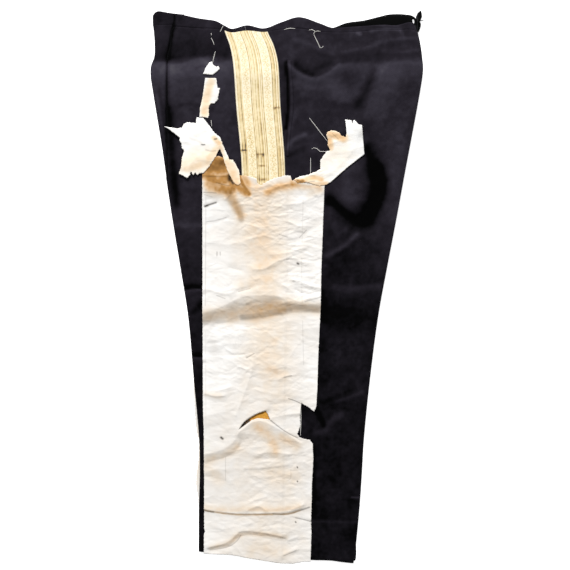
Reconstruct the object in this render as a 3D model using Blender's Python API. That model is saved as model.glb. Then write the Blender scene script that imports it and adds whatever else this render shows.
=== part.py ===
"""Dress uniform trousers, folded lengthwise and laid flat, with a lace stripe and its paper cover."""

import math

import bpy
from mathutils import Vector
from mathutils.geometry import delaunay_2d_cdt

MM = 0.001

# Size laid flat, and the thickness of each material, in mm.
# u runs from the fly side to the seat side and v from the waist to the hem.
LENGTH = 1050.0
WIDTH = 518.0
CLOTH = 1.8
LACE = 1.2
PAPER = 1.0
WELT = 0.9
GAP = 0.3

# How far in from a side the fold of a leg is rounded, and the wall with its gap beneath it.
FOLD_REACH = 12.0
INSET = CLOTH + GAP

# Sections across the folded legs. Columns: v, front side, back side, height of the stack.
SECTIONS = (
    (2.0, 3.0, 494.0, 17.0),
    (24.0, 4.0, 500.0, 17.8),
    (41.0, 6.2, 508.5, 18.6),
    (67.0, 7.8, 514.0, 20.0),
    (87.0, 7.0, 516.4, 21.0),
    (106.0, 0.6, 518.0, 21.4),
    (124.0, 0.0, 516.4, 21.4),
    (147.0, 3.2, 512.8, 21.0),
    (197.0, 11.3, 504.2, 19.8),
    (259.0, 21.6, 493.0, 18.2),
    (318.0, 29.9, 481.8, 16.8),
    (404.0, 43.0, 465.7, 15.2),
    (493.0, 57.7, 448.7, 14.2),
    (582.0, 71.7, 432.6, 13.5),
    (702.0, 82.4, 417.0, 12.7),
    (815.0, 92.5, 405.6, 12.2),
    (873.0, 93.8, 402.2, 12.0),
    (942.0, 92.3, 397.4, 11.8),
    (1032.0, 91.6, 388.5, 11.6),
    (1060.0, 91.6, 383.5, 11.6),
)

# Front edge of the upper half along the fly. Columns: v, u. Below it the edge is the leg's own side.
FLY = (
    (0.0, 48.5),
    (30.0, 45.0),
    (42.0, 40.0),
    (68.0, 38.0),
    (87.0, 33.0),
    (110.0, 31.0),
    (220.0, 31.6),
    (290.0, 31.0),
    (320.0, 30.2),
)
FLY_END = 320.0

# Lower edge of the band on the under half.
UNDER_BAND = 27.0

# Waist edge of the upper half, one row per rise or dip. Columns: u, v, depth of the band that shows.
WAIST = (
    (0.0, 6.0, 25.0),
    (45.0, 7.0, 25.0),
    (94.0, 16.8, 19.0),
    (125.0, 21.6, 15.0),
    (140.0, 29.6, 10.0),
    (155.0, 36.4, 7.0),
    (184.0, 29.8, 10.0),
    (216.0, 35.6, 7.0),
    (250.0, 23.4, 14.0),
    (283.0, 14.2, 22.0),
    (323.0, 26.6, 15.0),
    (345.0, 34.4, 9.0),
    (380.0, 33.0, 10.0),
    (442.0, 29.0, 9.0),
    (466.0, 30.0, 9.0),
    (495.0, 24.0, 14.0),
    (520.0, 34.0, 12.0),
)

# Waist edge of the under half. Columns: u, v.
UNDER_WAIST = (
    (6.0, 34.0),
    (60.0, 36.0),
    (155.0, 43.0),
    (283.0, 30.0),
    (341.0, 33.2),
    (372.0, 23.0),
    (406.0, 18.4),
    (432.0, 12.0),
    (456.0, 6.8),
    (490.0, 7.2),
    (500.0, 10.2),
    (507.5, 17.0),
)

# Hem of the upper leg. Columns: u, v.
HEM = (
    (80.0, 1027.0),
    (304.0, 1043.5),
    (341.0, 1044.5),
    (364.0, 1047.5),
    (390.0, 1050.5),
)

# Lace on the side seam. Columns: v, front edge, back edge.
LACE_LINE = (
    (0.0, 134.0, 214.0),
    (40.0, 141.0, 222.0),
    (70.0, 151.4, 235.0),
    (105.0, 157.9, 243.0),
    (180.0, 163.2, 247.0),
    (312.0, 174.0, 256.0),
    (700.0, 170.0, 252.0),
    (1060.0, 164.0, 246.0),
)

# Largest folds. Columns: u and v of one end, u and v of the other, half width, height.
FOLDS = (
    (10.0, 112.0, 510.0, 112.0, 26.0, 2.4),
    (262.0, 104.0, 309.0, 132.0, 20.0, 2.2),
    (309.0, 132.0, 353.0, 104.0, 20.0, 2.2),
    (340.0, 145.0, 368.0, 168.0, 30.0, 3.4),
    (421.0, 110.0, 389.0, 189.0, 24.0, -3.6),
    (415.0, 250.0, 446.0, 335.0, 30.0, -5.6),
    (446.0, 335.0, 430.0, 406.0, 26.0, -3.6),
    (378.0, 240.0, 398.0, 330.0, 26.0, 2.6),
    (373.0, 396.0, 339.0, 358.0, 24.0, -2.0),
    (52.0, 190.0, 56.0, 345.0, 18.0, -2.2),
)

# The paper cover and its torn pieces, one row per corner. Columns: u, v.
COVER = (
    (99.0, 322.0),
    (101.0, 307.0),
    (115.0, 292.0),
    (133.0, 263.0),
    (141.0, 280.0),
    (157.0, 319.0),
    (172.0, 314.0),
    (201.0, 319.0),
    (207.0, 332.0),
    (234.0, 320.0),
    (266.0, 314.0),
    (270.0, 324.0),
    (298.0, 316.0),
    (330.0, 333.0),
    (324.5, 496.0),
    (319.0, 652.0),
    (315.0, 752.0),
    (311.0, 762.0),
    (287.0, 746.0),
    (284.0, 772.0),
    (285.0, 789.0),
    (279.0, 804.0),
    (303.0, 815.0),
    (309.5, 830.0),
    (306.5, 942.0),
    (304.5, 1046.0),
    (288.0, 1046.5),
    (265.0, 1050.0),
    (240.0, 1047.5),
    (194.0, 1040.6),
    (160.0, 1034.0),
    (102.0, 1030.5),
    (103.0, 974.0),
    (101.5, 815.0),
    (99.5, 600.0),
)
TEAR = (
    (169.0, 795.0),
    (178.0, 780.5),
    (192.0, 771.0),
    (219.0, 760.0),
    (229.0, 778.0),
    (209.0, 774.5),
    (194.0, 777.0),
    (182.0, 786.5),
)
FLAP_LEFT = (
    (27.0, 222.0),
    (58.0, 225.0),
    (72.0, 214.0),
    (90.0, 205.0),
    (101.5, 206.0),
    (116.0, 226.0),
    (133.0, 242.0),
    (152.0, 285.0),
    (170.0, 310.0),
    (158.0, 321.0),
    (143.0, 295.0),
    (132.0, 267.0),
    (121.0, 285.0),
    (101.5, 310.0),
    (70.0, 318.0),
    (55.0, 311.0),
    (65.0, 270.0),
    (57.0, 245.0),
)
STRIP_LEFT = (
    (105.0, 131.0),
    (126.0, 131.0),
    (133.0, 152.0),
    (129.0, 171.0),
    (112.0, 186.0),
    (109.0, 203.0),
    (95.0, 202.0),
    (95.0, 187.0),
    (101.5, 156.0),
)
SCRAP = (
    (101.0, 123.5),
    (111.0, 103.0),
    (118.0, 100.0),
    (122.0, 108.0),
    (132.0, 113.0),
    (120.0, 125.0),
)
FLAP_RIGHT = (
    (333.5, 332.0),
    (374.0, 299.0),
    (406.0, 274.0),
    (401.0, 220.0),
    (391.0, 214.0),
    (369.0, 209.0),
    (372.0, 234.0),
    (368.0, 243.0),
    (351.0, 232.0),
    (335.0, 234.0),
    (341.0, 267.0),
    (323.0, 285.0),
    (322.0, 302.0),
    (296.0, 314.0),
    (284.0, 321.0),
)

# Free edge of the under leg's paper, beside the leg. Columns: v, u.
UNDER_PAPER = (
    (671.0, 79.5),
    (702.0, 81.5),
    (759.0, 83.0),
    (799.0, 87.0),
    (818.0, 91.5),
    (850.0, 91.0),
    (884.0, 87.0),
    (900.0, 86.0),
    (927.0, 90.0),
    (954.0, 91.0),
    (981.0, 91.0),
)
UNDER_PAPER_TUCK = 2.6

# Side pocket mouth beside the lace. Columns: v, u. The welt lies along it.
POCKET = (
    (100.0, 260.0),
    (170.0, 263.5),
    (223.0, 260.0),
    (278.0, 257.5),
)
WELT_WIDTH = 8.5

# Lacing tape at the back of the waist, a row per section.
# Columns: u, v, half width, underside, thickness.
TAPE = (
    (513.4, 0.0, 0.8, 6.2, 1.2),
    (511.8, 5.0, 3.4, 5.8, 1.6),
    (510.4, 12.0, 5.4, 5.2, 2.0),
    (509.6, 17.0, 4.6, 4.6, 3.2),
    (509.0, 21.5, 3.4, 4.3, 5.4),
    (511.0, 25.0, 3.0, 4.4, 3.2),
    (511.2, 31.0, 2.8, 4.4, 1.8),
    (509.6, 37.0, 2.0, 4.4, 1.4),
    (508.4, 41.5, 0.8, 4.4, 1.0),
)

# Gap that the loop of the tape leaves in the waist. Columns: u, v of the middle, half width, half length.
LOOP_GAP = (499.4, 19.4, 2.2, 4.6)

# Rows below the band, columns of each panel between its fold and the lace, and turns of a fold in degrees.
BODY_ROWS = 38
FRONT_COLUMNS = 3
BACK_COLUMNS = 8
TURNS = (-55.0, -25.0, 0.0, 30.0, 60.0)
BAND_ROLL = 5.0
PAPER_SLOPE = 8.0


def lerp(a, b, t):
    return a + (b - a) * t


def ramp(x, low, high):
    """0 below low, 1 above high and a smooth step between."""
    t = min(1.0, max(0.0, (x - low) / (high - low)))
    return t * t * (3.0 - 2.0 * t)


def along(table, x, column):
    """Smooth value of a column of a table at x, which is compared with the first column."""
    last = len(table) - 1
    x = min(max(x, table[0][0]), table[last][0])
    k = 0
    while k < last - 1 and x > table[k + 1][0]:
        k += 1
    x0, x1 = table[k][0], table[k + 1][0]
    y0, y1 = table[k][column], table[k + 1][column]
    slope = (y1 - y0) / (x1 - x0)
    before = slope
    after = slope
    if k > 0:
        before = (y1 - table[k - 1][column]) / (x1 - table[k - 1][0])
    if k < last - 1:
        after = (table[k + 2][column] - y0) / (table[k + 2][0] - x0)
    t = (x - x0) / (x1 - x0)
    bend = (before - slope) * t * (1.0 - t) ** 2 - (after - slope) * t * t * (1.0 - t)
    return lerp(y0, y1, t) + bend * (x1 - x0)


def front_side(v):
    return along(SECTIONS, v, 1)


def back_side(v):
    return along(SECTIONS, v, 2)


def stack(v):
    return along(SECTIONS, v, 3)


def upper_front(v):
    """Front edge of the upper half: the fly first, then the leg's own side."""
    return along(FLY, v, 1) if v < FLY_END else front_side(v)


def fold_height(u, v):
    """Sum of the folds at a point, faded out near the sides."""
    total = 0.0
    for u0, v0, u1, v1, half, height in FOLDS:
        du, dv = u1 - u0, v1 - v0
        t = ((u - u0) * du + (v - v0) * dv) / (du * du + dv * dv)
        t = min(1.0, max(0.0, t))
        away = math.hypot(u - u0 - t * du, v - v0 - t * dv)
        total += height * math.exp(-((away / half) ** 2))
    inside = min(u - upper_front(v), back_side(v) - u)
    return total * ramp(inside, FOLD_REACH, FOLD_REACH + 25.0)


def place(u, v, z):
    """Point in metres: centred across, hem toward -Y, resting on z = 0."""
    return ((u - WIDTH / 2) * MM, (LENGTH / 2 - v) * MM, z * MM)


def column_line(j, v):
    """u of column j at v. Columns run from the front fold to the back fold across the lace."""
    start = upper_front(v) + FOLD_REACH
    lace_front = along(LACE_LINE, v, 1)
    lace_back = along(LACE_LINE, v, 2)
    if j < FRONT_COLUMNS:
        return lerp(start, lace_front - PAPER_SLOPE, j / FRONT_COLUMNS)
    middle = (
        lace_front - PAPER_SLOPE,
        lace_front,
        (lace_front + lace_back) / 2,
        lace_back,
        lace_back + PAPER_SLOPE,
    )
    k = j - FRONT_COLUMNS
    if k < len(middle):
        return middle[k]
    t = (k - len(middle) + 1) / BACK_COLUMNS
    return lerp(middle[-1], back_side(v) - FOLD_REACH, t)


COLUMNS = FRONT_COLUMNS + 5 + BACK_COLUMNS
LACE_FRONT = FRONT_COLUMNS + 1
SEAM = FRONT_COLUMNS + 2
LACE_BACK = FRONT_COLUMNS + 3


def grid_point(row, j):
    """u and v of a point of the cloth. The first rows follow the band, the others reach to the hem."""
    v = 30.0
    for _ in range(6):
        u = column_line(j, v)
        waist = along(WAIST, u, 1)
        band = waist + along(WAIST, u, 2)
        if row == 0:
            v = waist
        elif row == 1:
            v = waist + BAND_ROLL
        else:
            v = lerp(band, along(HEM, u, 1), (row - 2) / BODY_ROWS)
    return column_line(j, v), v


def cloth_grid():
    """Rows of (u, v, z) over the upper half, from the start of one fold to the start of the other."""
    rows = []
    for row in range(BODY_ROWS + 3):
        line = []
        for j in range(COLUMNS):
            u, v = grid_point(row, j)
            z = stack(v) + fold_height(u, v)
            if row == 0:
                z -= 1.5
            line.append((u, v, z))
        rows.append(line)
    return rows


def fold_turn(edge, into, v, degrees, inset):
    """Point of the upper leg's fold. into is 1 when the cloth lies toward +u from the edge."""
    angle = math.radians(degrees)
    quarter = stack(v) / 4
    reach = FOLD_REACH - inset
    u = edge + into * (FOLD_REACH - reach * math.cos(angle))
    return u, v, 3 * quarter + (quarter - inset) * math.sin(angle)


def fold_points(line, at_front, inset):
    """Points of a row's fold from its lower end up to the first point on top."""
    if at_front:
        first, into = line[0], 1
        edge = upper_front(first[1])
    else:
        first, into = line[-1], -1
        edge = back_side(first[1])
    drop = stack(first[1]) - first[2]
    points = []
    for degrees in TURNS:
        u, v, z = fold_turn(edge, into, first[1], degrees, inset)
        points.append((u, v, z - drop * max(0.0, math.sin(math.radians(degrees)))))
    return points


def mesh_object(name, points, faces, group, material):
    mesh = bpy.data.meshes.new(name)
    mesh.from_pydata([place(*point) for point in points], [], faces)
    mesh.validate()
    mesh.materials.append(material)
    made = bpy.data.objects.new(name, mesh)
    group.objects.link(made)
    return made


def wall(name, outer, inner, group, material):
    """Closed wall between two grids of points of the same size. outer is the side that faces up."""
    rows, columns = len(outer), len(outer[0])
    points = [point for line in outer for point in line]
    points += [point for line in inner for point in line]
    far = rows * columns
    faces = []
    for r in range(rows - 1):
        for c in range(columns - 1):
            a = r * columns + c
            b, d = a + 1, a + columns
            e = d + 1
            faces += [(a, d, b), (b, d, e)]
            faces += [(far + a, far + b, far + d), (far + b, far + e, far + d)]
    rim = [c for c in range(columns)]
    rim += [r * columns + columns - 1 for r in range(1, rows)]
    rim += [(rows - 1) * columns + c for c in range(columns - 2, -1, -1)]
    rim += [r * columns for r in range(rows - 2, 0, -1)]
    for here, there in zip(rim, rim[1:] + rim[:1]):
        faces += [(here, there, far + there), (here, far + there, far + here)]
    return mesh_object(name, points, faces, group, material)


def panel(name, lines, at_front, nudge_v, group, material):
    """Cloth wall of one panel: round its fold, over the top and up to the seam."""
    outer, inner = [], []
    for index, line in enumerate(lines):
        shift = 0.0
        if index == 0:
            shift = nudge_v[0]
        if index == len(lines) - 1:
            shift = nudge_v[1]
        if at_front:
            top = list(line[: SEAM + 1])
            u, v, z = top[-1]
            top[-1] = (u - GAP / 2, v, z)
        else:
            top = list(line[SEAM:])
            u, v, z = top[0]
            top[0] = (u + GAP / 2, v, z)
        under = [(u, v, z - CLOTH) for u, v, z in top]
        turn = fold_points(line, at_front, 0.0)
        turn_in = fold_points(line, at_front, CLOTH)
        if at_front:
            row_out, row_in = turn + top, turn_in + under
        else:
            row_out, row_in = top + turn[::-1], under + turn_in[::-1]
        outer.append([(u, v + shift, z) for u, v, z in row_out])
        inner.append([(u, v + shift, z) for u, v, z in row_in])
    return wall(name, outer, inner, group, material)


def covered(v):
    """1 where the under half's front shows as a wall of its own, 0 where the solid is its outside."""
    return 1.0 - ramp(v, 312.0, 330.0)


def hidden_side(line, at_front):
    """Side of the hidden layers, from the ground up: the under leg's fold, a cleft, the upper leg's."""
    v = line[0][1] if at_front else line[-1][1]
    t = stack(v)
    if at_front:
        low_edge, edge, into = front_side(v), upper_front(v), 1
        inset = lerp(0.4, INSET, covered(v))
        low = t / 2 - GAP - INSET * covered(v)
        shoulder = min(low_edge + 10.0, edge + 8.0)
    else:
        edge, into = back_side(v), -1
        low_edge = edge - 1.0 + 4.5 * ramp(v, 1000.0, 1040.0)
        inset = 0.4
        low = t / 2 - GAP
        shoulder = max(low_edge - 10.0, edge - 8.0)
    points = [
        (low_edge + into * 9.0, v, 0.0),
        (low_edge + into * (3.5 + inset), v, 0.07 * t),
        (low_edge + into * inset, v, 0.25 * t),
        (low_edge + into * (3.5 + inset), v, 0.43 * t - 0.9 * inset),
        (shoulder, v, low),
        (edge + into * 8.3, v, low + 0.2),
    ]
    for degrees in (-70.0,) + TURNS[1:]:
        points.append(fold_turn(edge, into, v, degrees, INSET))
    return points


def hidden_layers(lines, group, material):
    """One rounded solid for the layers inside and the under leg, with a flat underside."""
    loops = []
    for index, line in enumerate(lines):
        shift = -3.0 if index == len(lines) - 1 else 0.0
        top = [(u, v, z - INSET) for u, v, z in line]
        floor = [(u, v, 0.0) for u, v, z in line]
        left = hidden_side(line, True)
        right = hidden_side(line, False)
        loop = left + top + right[::-1] + floor[::-1]
        loops.append([(u, v + shift, z) for u, v, z in loop])
    size = len(loops[0])
    side = len(hidden_side(lines[0], True))
    points = [point for loop in loops for point in loop]
    faces = []
    for r in range(len(loops) - 1):
        for c in range(size):
            a, b = r * size + c, r * size + (c + 1) % size
            d, e = a + size, b + size
            faces += [(a, d, b), (b, d, e)]
    last = (len(loops) - 1) * size
    for start, turn in ((0, 1), (last, -1)):
        ring = [start + k for k in range(size)]
        first_top, first_floor = side, size - 1
        for c in range(COLUMNS - 1):
            quad = (ring[first_top + c], ring[first_top + c + 1])
            quad += (ring[first_floor - c - 1], ring[first_floor - c])
            faces.append(quad[::turn])
        left = ring[: side + 1] + [ring[size - 1]]
        right = ring[side + COLUMNS - 1 : size - COLUMNS + 1]
        faces.append(tuple(left[::turn]))
        faces.append(tuple(right[::turn]))
    return mesh_object("hidden_layers", points, faces, group, material)


def underlap(name, levels, corner, group, material):
    """Front of the under half, which shows beyond the fly: round its fold and in under the upper half.

    corner is how far the first row drops at the rounded corner of the waist.
    """
    outer, inner = [], []
    for v in levels:
        edge = front_side(v)
        tuck = along(FLY, v, 1) + 7.0
        reach = min(FOLD_REACH, tuck - edge - 1.0)
        quarter = stack(v) / 4
        for rows, inset in ((outer, 0.0), (inner, CLOTH)):
            line = []
            for degrees in (-20.0, 0.0, 35.0, 65.0, 90.0):
                angle = math.radians(degrees)
                u = edge + reach - (reach - inset) * math.cos(angle)
                z = quarter + (quarter - GAP - inset) * math.sin(angle)
                line.append((u, v, z))
            line.append((tuck, v, 2 * quarter - GAP - inset))
            rows.append(line)
    rounded = []
    for rows in (outer, inner):
        first = []
        for u, v, z in rows[0]:
            drop = corner * (1.0 - ramp(u, -2.0, 14.0) + 0.02 * max(0.0, u - 14.0))
            first.append((u, v + drop, z))
        rounded.append([first] + rows[1:])
    return wall(name, rounded[0], rounded[1], group, material)


def triangles(lines):
    """Triangles of the grid as index triples into its flat list of points, split as the walls are."""
    columns = len(lines[0])
    made = []
    for r in range(len(lines) - 1):
        for c in range(columns - 1):
            a = r * columns + c
            b, d = a + 1, a + columns
            made += [(a, d, b), (b, d, d + 1)]
    return made


def with_sides(lines):
    """The grid with one more column at each side, part way down the fold."""
    wide = []
    for line in lines:
        front = fold_points(line, True, 0.0)
        back = fold_points(line, False, 0.0)
        wide.append([front[-1]] + list(line) + [back[-1]])
    return wide


def height_on(points, faces, u, v):
    """Height of the faceted surface at a point, or of its nearest corner where the point is off it."""
    for a, b, c in faces:
        ua, va, za = points[a]
        ub, vb, zb = points[b]
        uc, vc, zc = points[c]
        area = (ub - ua) * (vc - va) - (uc - ua) * (vb - va)
        s = ((ub - u) * (vc - v) - (uc - u) * (vb - v)) / area
        t = ((uc - u) * (va - v) - (ua - u) * (vc - v)) / area
        if s > -1e-4 and t > -1e-4 and s + t < 1.0001:
            return s * za + t * zb + (1.0 - s - t) * zc
    near = min(points, key=lambda p: (p[0] - u) ** 2 + (p[1] - v) ** 2)
    return near[2]


def inside(outline, u, v):
    odd = False
    for (u0, v0), (u1, v1) in zip(outline, outline[1:] + outline[:1]):
        if (v0 > v) != (v1 > v) and u < u0 + (v - v0) * (u1 - u0) / (v1 - v0):
            odd = not odd
    return odd


def patch(name, outline, holes, lines, lift, thickness, group, material):
    """Sheet cut to an outline, laid on the facets of a grid and moved out by lift at each point."""
    points = [point for line in lines for point in line]
    faces = triangles(lines)
    low_u, high_u = min(p[0] for p in outline), max(p[0] for p in outline)
    low_v, high_v = min(p[1] for p in outline), max(p[1] for p in outline)
    near = []
    for face in faces:
        us = [points[k][0] for k in face]
        vs = [points[k][1] for k in face]
        if max(us) > low_u - 1 and min(us) < high_u + 1 and max(vs) > low_v - 1 and min(vs) < high_v + 1:
            near.append(face)
    used = sorted({k for face in near for k in face})
    index = {k: i for i, k in enumerate(used)}
    flat = [Vector(points[k][:2]) for k in used]
    edges = set()
    for face in near:
        for k in range(3):
            a, b = index[face[k]], index[face[k - 1]]
            edges.add((min(a, b), max(a, b)))
    edges = sorted(edges)
    for ring in (outline,) + tuple(holes):
        start = len(flat)
        flat += [Vector(corner) for corner in ring]
        edges += [(start + k, start + (k + 1) % len(ring)) for k in range(len(ring))]
    made, _, cells, _, _, _ = delaunay_2d_cdt(flat, edges, [], 0, 0.02, True)
    outline = [tuple(corner) for corner in outline]
    kept = []
    for cell in cells:
        u = sum(made[k][0] for k in cell) / 3
        v = sum(made[k][1] for k in cell) / 3
        if inside(outline, u, v) and not any(inside(list(hole), u, v) for hole in holes):
            kept.append(tuple(cell))
    order = sorted({k for cell in kept for k in cell})
    renamed = {k: i for i, k in enumerate(order)}
    kept = [tuple(renamed[k] for k in cell) for cell in kept]
    under = []
    for k in order:
        u, v = made[k]
        under.append((u, v, height_on(points, near, u, v) + lift(u, v)))
    over = [(u, v, z + thickness) for u, v, z in under]
    far = len(over)
    solid = []
    counted = {}
    for a, b, c in kept:
        (ua, va, _), (ub, vb, _), (uc, vc, _) = over[a], over[b], over[c]
        if (ub - ua) * (vc - va) - (uc - ua) * (vb - va) > 0:
            b, c = c, b
        solid += [(a, b, c), (far + a, far + c, far + b)]
        for edge in ((a, b), (b, c), (c, a)):
            counted[edge] = True
    for a, b in counted:
        if (b, a) not in counted:
            solid += [(b, a, far + a), (b, far + a, far + b)]
    return mesh_object(name, over + under, solid, group, material)


def strip(line_a, line_b):
    """Outline between two lines of points that run the same way."""
    return tuple(line_a) + tuple(line_b[::-1])


def tape(name, group, material):
    """Flat tape with pointed ends, drawn through the sections of its table."""
    points, faces = [], []
    for u, v, half, under, thick in TAPE:
        points += [
            (u - half, v, under + thick * 0.5),
            (u - half * 0.5, v, under + thick),
            (u + half * 0.5, v, under + thick),
            (u + half, v, under + thick * 0.5),
            (u + half * 0.5, v, under),
            (u - half * 0.5, v, under),
        ]
    for r in range(len(TAPE) - 1):
        for c in range(6):
            a, b = r * 6 + c, r * 6 + (c + 1) % 6
            faces += [(a, a + 6, b), (b, a + 6, b + 6)]
    end = (len(TAPE) - 1) * 6
    faces.append((0, 1, 2, 3, 4, 5))
    faces.append((end + 5, end + 4, end + 3, end + 2, end + 1, end))
    return mesh_object(name, points, faces, group, material)


def under_waist(name, lines, group, material):
    """Waist of the under half, lying on the ground in front of the hidden layers."""
    steps = 24
    outer, inner = [], []
    for k in range(5):
        row_out, row_in = [], []
        for s in range(steps + 1):
            u = lerp(23.0, 507.5, s / steps)
            near = min(lines[3], key=lambda p: abs(p[0] - u))
            start = along(UNDER_WAIST, u, 1)
            v = lerp(start, near[1] - 3.0, k / 4)
            rise = 2.2 * ramp(u, 350.0, 420.0) * (1.0 - ramp(u, 470.0, 498.0)) * (1.0 - k / 4)
            top = 4.0 + rise + (stack(v) / 2 - INSET - 2 * GAP - 4.0) * (1.0 - ramp(u, 44.0, 62.0))
            row_out.append((u, v, top if k else top - 1.2))
            row_in.append((u, v, 0.0))
        outer.append(row_out)
        inner.append(row_in)
    return wall(name, outer, inner, group, material)


def gap_cutter(group):
    """Short upright prism that opens the gap in the tape's loop."""
    u, v, half, length = LOOP_GAP
    points, faces = [], []
    sides = 10
    for z in (-5.0, 12.0):
        for k in range(sides):
            angle = 2 * math.pi * k / sides
            points.append((u + half * math.cos(angle), v + length * math.sin(angle), z))
    for k in range(sides):
        a, b = k, (k + 1) % sides
        faces.append((a, a + sides, b + sides, b))
    faces.append(tuple(range(sides)))
    faces.append(tuple(range(2 * sides - 1, sides - 1, -1)))
    mesh = bpy.data.meshes.new("loop_gap")
    mesh.from_pydata([place(*point) for point in points], [], faces)
    cutter = bpy.data.objects.new("loop_gap", mesh)
    cutter.display_type = "WIRE"
    cutter.hide_render = True
    group.objects.link(cutter)
    return cutter


def colour(name, rgb, roughness):
    material = bpy.data.materials.new(name)
    material.use_nodes = True
    shader = material.node_tree.nodes["Principled BSDF"]
    shader.inputs["Base Color"].default_value = (*rgb, 1.0)
    shader.inputs["Roughness"].default_value = roughness
    material.diffuse_color = (*rgb, 1.0)
    return material


def build():
    for old in list(bpy.data.objects):
        bpy.data.objects.remove(old, do_unlink=True)
    group = bpy.data.collections.new("dress_uniform_trousers")
    cutters = bpy.data.collections.new("cutters")
    bpy.context.scene.collection.children.link(group)
    bpy.context.scene.collection.children.link(cutters)
    cutters.hide_render = True

    wool = (0.012, 0.011, 0.016)
    lining = (0.008, 0.008, 0.009)
    gold = (0.72, 0.56, 0.26)
    paper = (0.84, 0.79, 0.70)

    grid = cloth_grid()
    band, body = grid[:3], grid[2:]
    apart = GAP / 2
    hidden_layers(grid[3:], group, colour("hidden_layers", wool, 0.9))
    panel("front_panel", body, True, (apart, 0.0), group, colour("front_panel", wool, 0.9))
    panel("back_panel", body, False, (apart, 0.0), group, colour("back_panel", wool, 0.9))
    panel("waistband_front", band, True, (0.0, -apart), group, colour("waistband_front", wool, 0.9))
    panel("waistband_back", band, False, (0.0, -apart), group, colour("waistband_back", wool, 0.9))

    shown = [UNDER_BAND + apart, 43.0] + [line[0][1] for line in grid[3:] if line[0][1] < FLY_END - 20.0]
    underlap("fly_underlap", shown, 0.0, group, colour("fly_underlap", wool, 0.9))
    band_levels = (1.5, 12.0, 19.0, UNDER_BAND - apart)
    underlap("waistband_underlap", band_levels, 7.0, group, colour("waistband_underlap", wool, 0.9))
    lined = under_waist("under_waist_lining", grid, group, colour("under_waist_lining", lining, 0.6))
    cut = lined.modifiers.new("loop_gap", "BOOLEAN")
    cut.operation = "DIFFERENCE"
    cut.solver = "EXACT"
    cut.object = gap_cutter(cutters)
    tape("lacing_tape", group, colour("lacing_tape", lining, 0.6))

    under, over = [], []
    for index, line in enumerate(body):
        shift = 0.6 if index == 0 else 0.0
        stripe = line[LACE_FRONT : LACE_BACK + 1]
        under.append([(u, v + shift, z + GAP) for u, v, z in stripe])
        over.append([(u, v + shift, z + GAP + LACE) for u, v, z in stripe])
    wall("gold_lace", over, under, group, colour("gold_lace", gold, 0.45))

    surface = with_sides(body)
    mouth = [(u, v) for v, u in POCKET]
    lip = [(u + WELT_WIDTH, v) for u, v in mouth]
    patch("pocket_welt", strip(mouth, lip), (), surface, lambda u, v: GAP, WELT, group,
          colour("pocket_welt", wool, 0.9))

    raised = []
    for line in body:
        row = []
        for j, (u, v, z) in enumerate(line):
            over_lace = LACE + GAP if LACE_FRONT <= j <= LACE_BACK else 0.0
            row.append((u, v, z + over_lace))
        raised.append(row)
    raised = with_sides(raised)
    second = GAP + PAPER + GAP
    patch("paper_cover", COVER, (TEAR,), raised, lambda u, v: GAP, PAPER, group,
          colour("paper_cover", paper, 0.8))
    patch("paper_flap_left", FLAP_LEFT, (), raised,
          lambda u, v: second + 3.0 * ramp(130.0 - u, 0.0, 90.0), PAPER, group,
          colour("paper_flap_left", paper, 0.8))
    patch("paper_flap_right", FLAP_RIGHT, (), raised,
          lambda u, v: second + 6.0 * ramp(330.0 - v, 0.0, 110.0), PAPER, group,
          colour("paper_flap_right", paper, 0.8))
    patch("paper_strip_left", STRIP_LEFT, (), raised, lambda u, v: GAP, PAPER, group,
          colour("paper_strip_left", paper, 0.8))
    patch("paper_scrap", SCRAP, (), raised, lambda u, v: GAP, PAPER, group,
          colour("paper_scrap", paper, 0.8))

    under, over = [], []
    for k in range(16):
        v = lerp(UNDER_PAPER[0][0], UNDER_PAPER[-1][0], k / 15)
        edge = along(UNDER_PAPER, v, 1)
        tucked = front_side(v) + UNDER_PAPER_TUCK
        under.append([(edge, v, 0.0), (tucked, v, 0.0)])
        over.append([(edge, v, PAPER * 0.8), (tucked, v, PAPER * 0.8)])
    wall("under_leg_paper", over, under, group, colour("under_leg_paper", paper, 0.8))


build()
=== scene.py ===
"""Dress uniform trousers, folded lengthwise and laid flat: wool, lace, torn paper and basting threads.

Sizes are in mm. u runs from the fly side to the seat side, v from the waist to the hem, and z is up.
"""

import math

import bpy
import numpy as np
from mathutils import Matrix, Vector
from mathutils.geometry import delaunay_2d_cdt
from mathutils.kdtree import KDTree


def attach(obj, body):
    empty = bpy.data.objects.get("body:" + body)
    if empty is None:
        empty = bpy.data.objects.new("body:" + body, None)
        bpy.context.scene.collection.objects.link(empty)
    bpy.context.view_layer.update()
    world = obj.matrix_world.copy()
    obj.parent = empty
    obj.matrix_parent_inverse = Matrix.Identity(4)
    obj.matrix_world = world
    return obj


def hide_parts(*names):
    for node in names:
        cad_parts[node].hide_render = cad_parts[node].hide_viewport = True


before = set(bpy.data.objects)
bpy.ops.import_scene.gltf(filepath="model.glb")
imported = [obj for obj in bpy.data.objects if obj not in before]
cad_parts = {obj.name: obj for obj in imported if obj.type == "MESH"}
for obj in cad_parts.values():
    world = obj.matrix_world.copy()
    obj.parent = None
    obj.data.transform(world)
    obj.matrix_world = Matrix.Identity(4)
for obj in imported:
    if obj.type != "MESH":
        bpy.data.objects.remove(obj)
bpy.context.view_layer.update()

# Metres to a mm, and the size of the trousers as they lie.
MM = 0.001
LENGTH = 1050.0
WIDTH = 518.0

# Thicknesses, and the air between two layers.
CLOTH = 1.8
LACE = 1.1
PAPER = 0.45
WELT = 0.9
GAP = 0.3

# Width of the slit between two pieces that are sewn edge to edge.
SEAM = 0.06

# Radius of the basting thread and of the tape's frayed end.
THREAD = 0.55
TAPE_THREAD = 0.8

# How far the folds at the sides reach in, and that of the under half's front.
FOLD_REACH = 12.0
UNDER_REACH = 10.0

# Within how far of the sides and of the lace the cloth's folds fade out.
FOLDS_FADE = 26.0
SMALL_FADE = 14.0
LACE_FADE = 12.0

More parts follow.
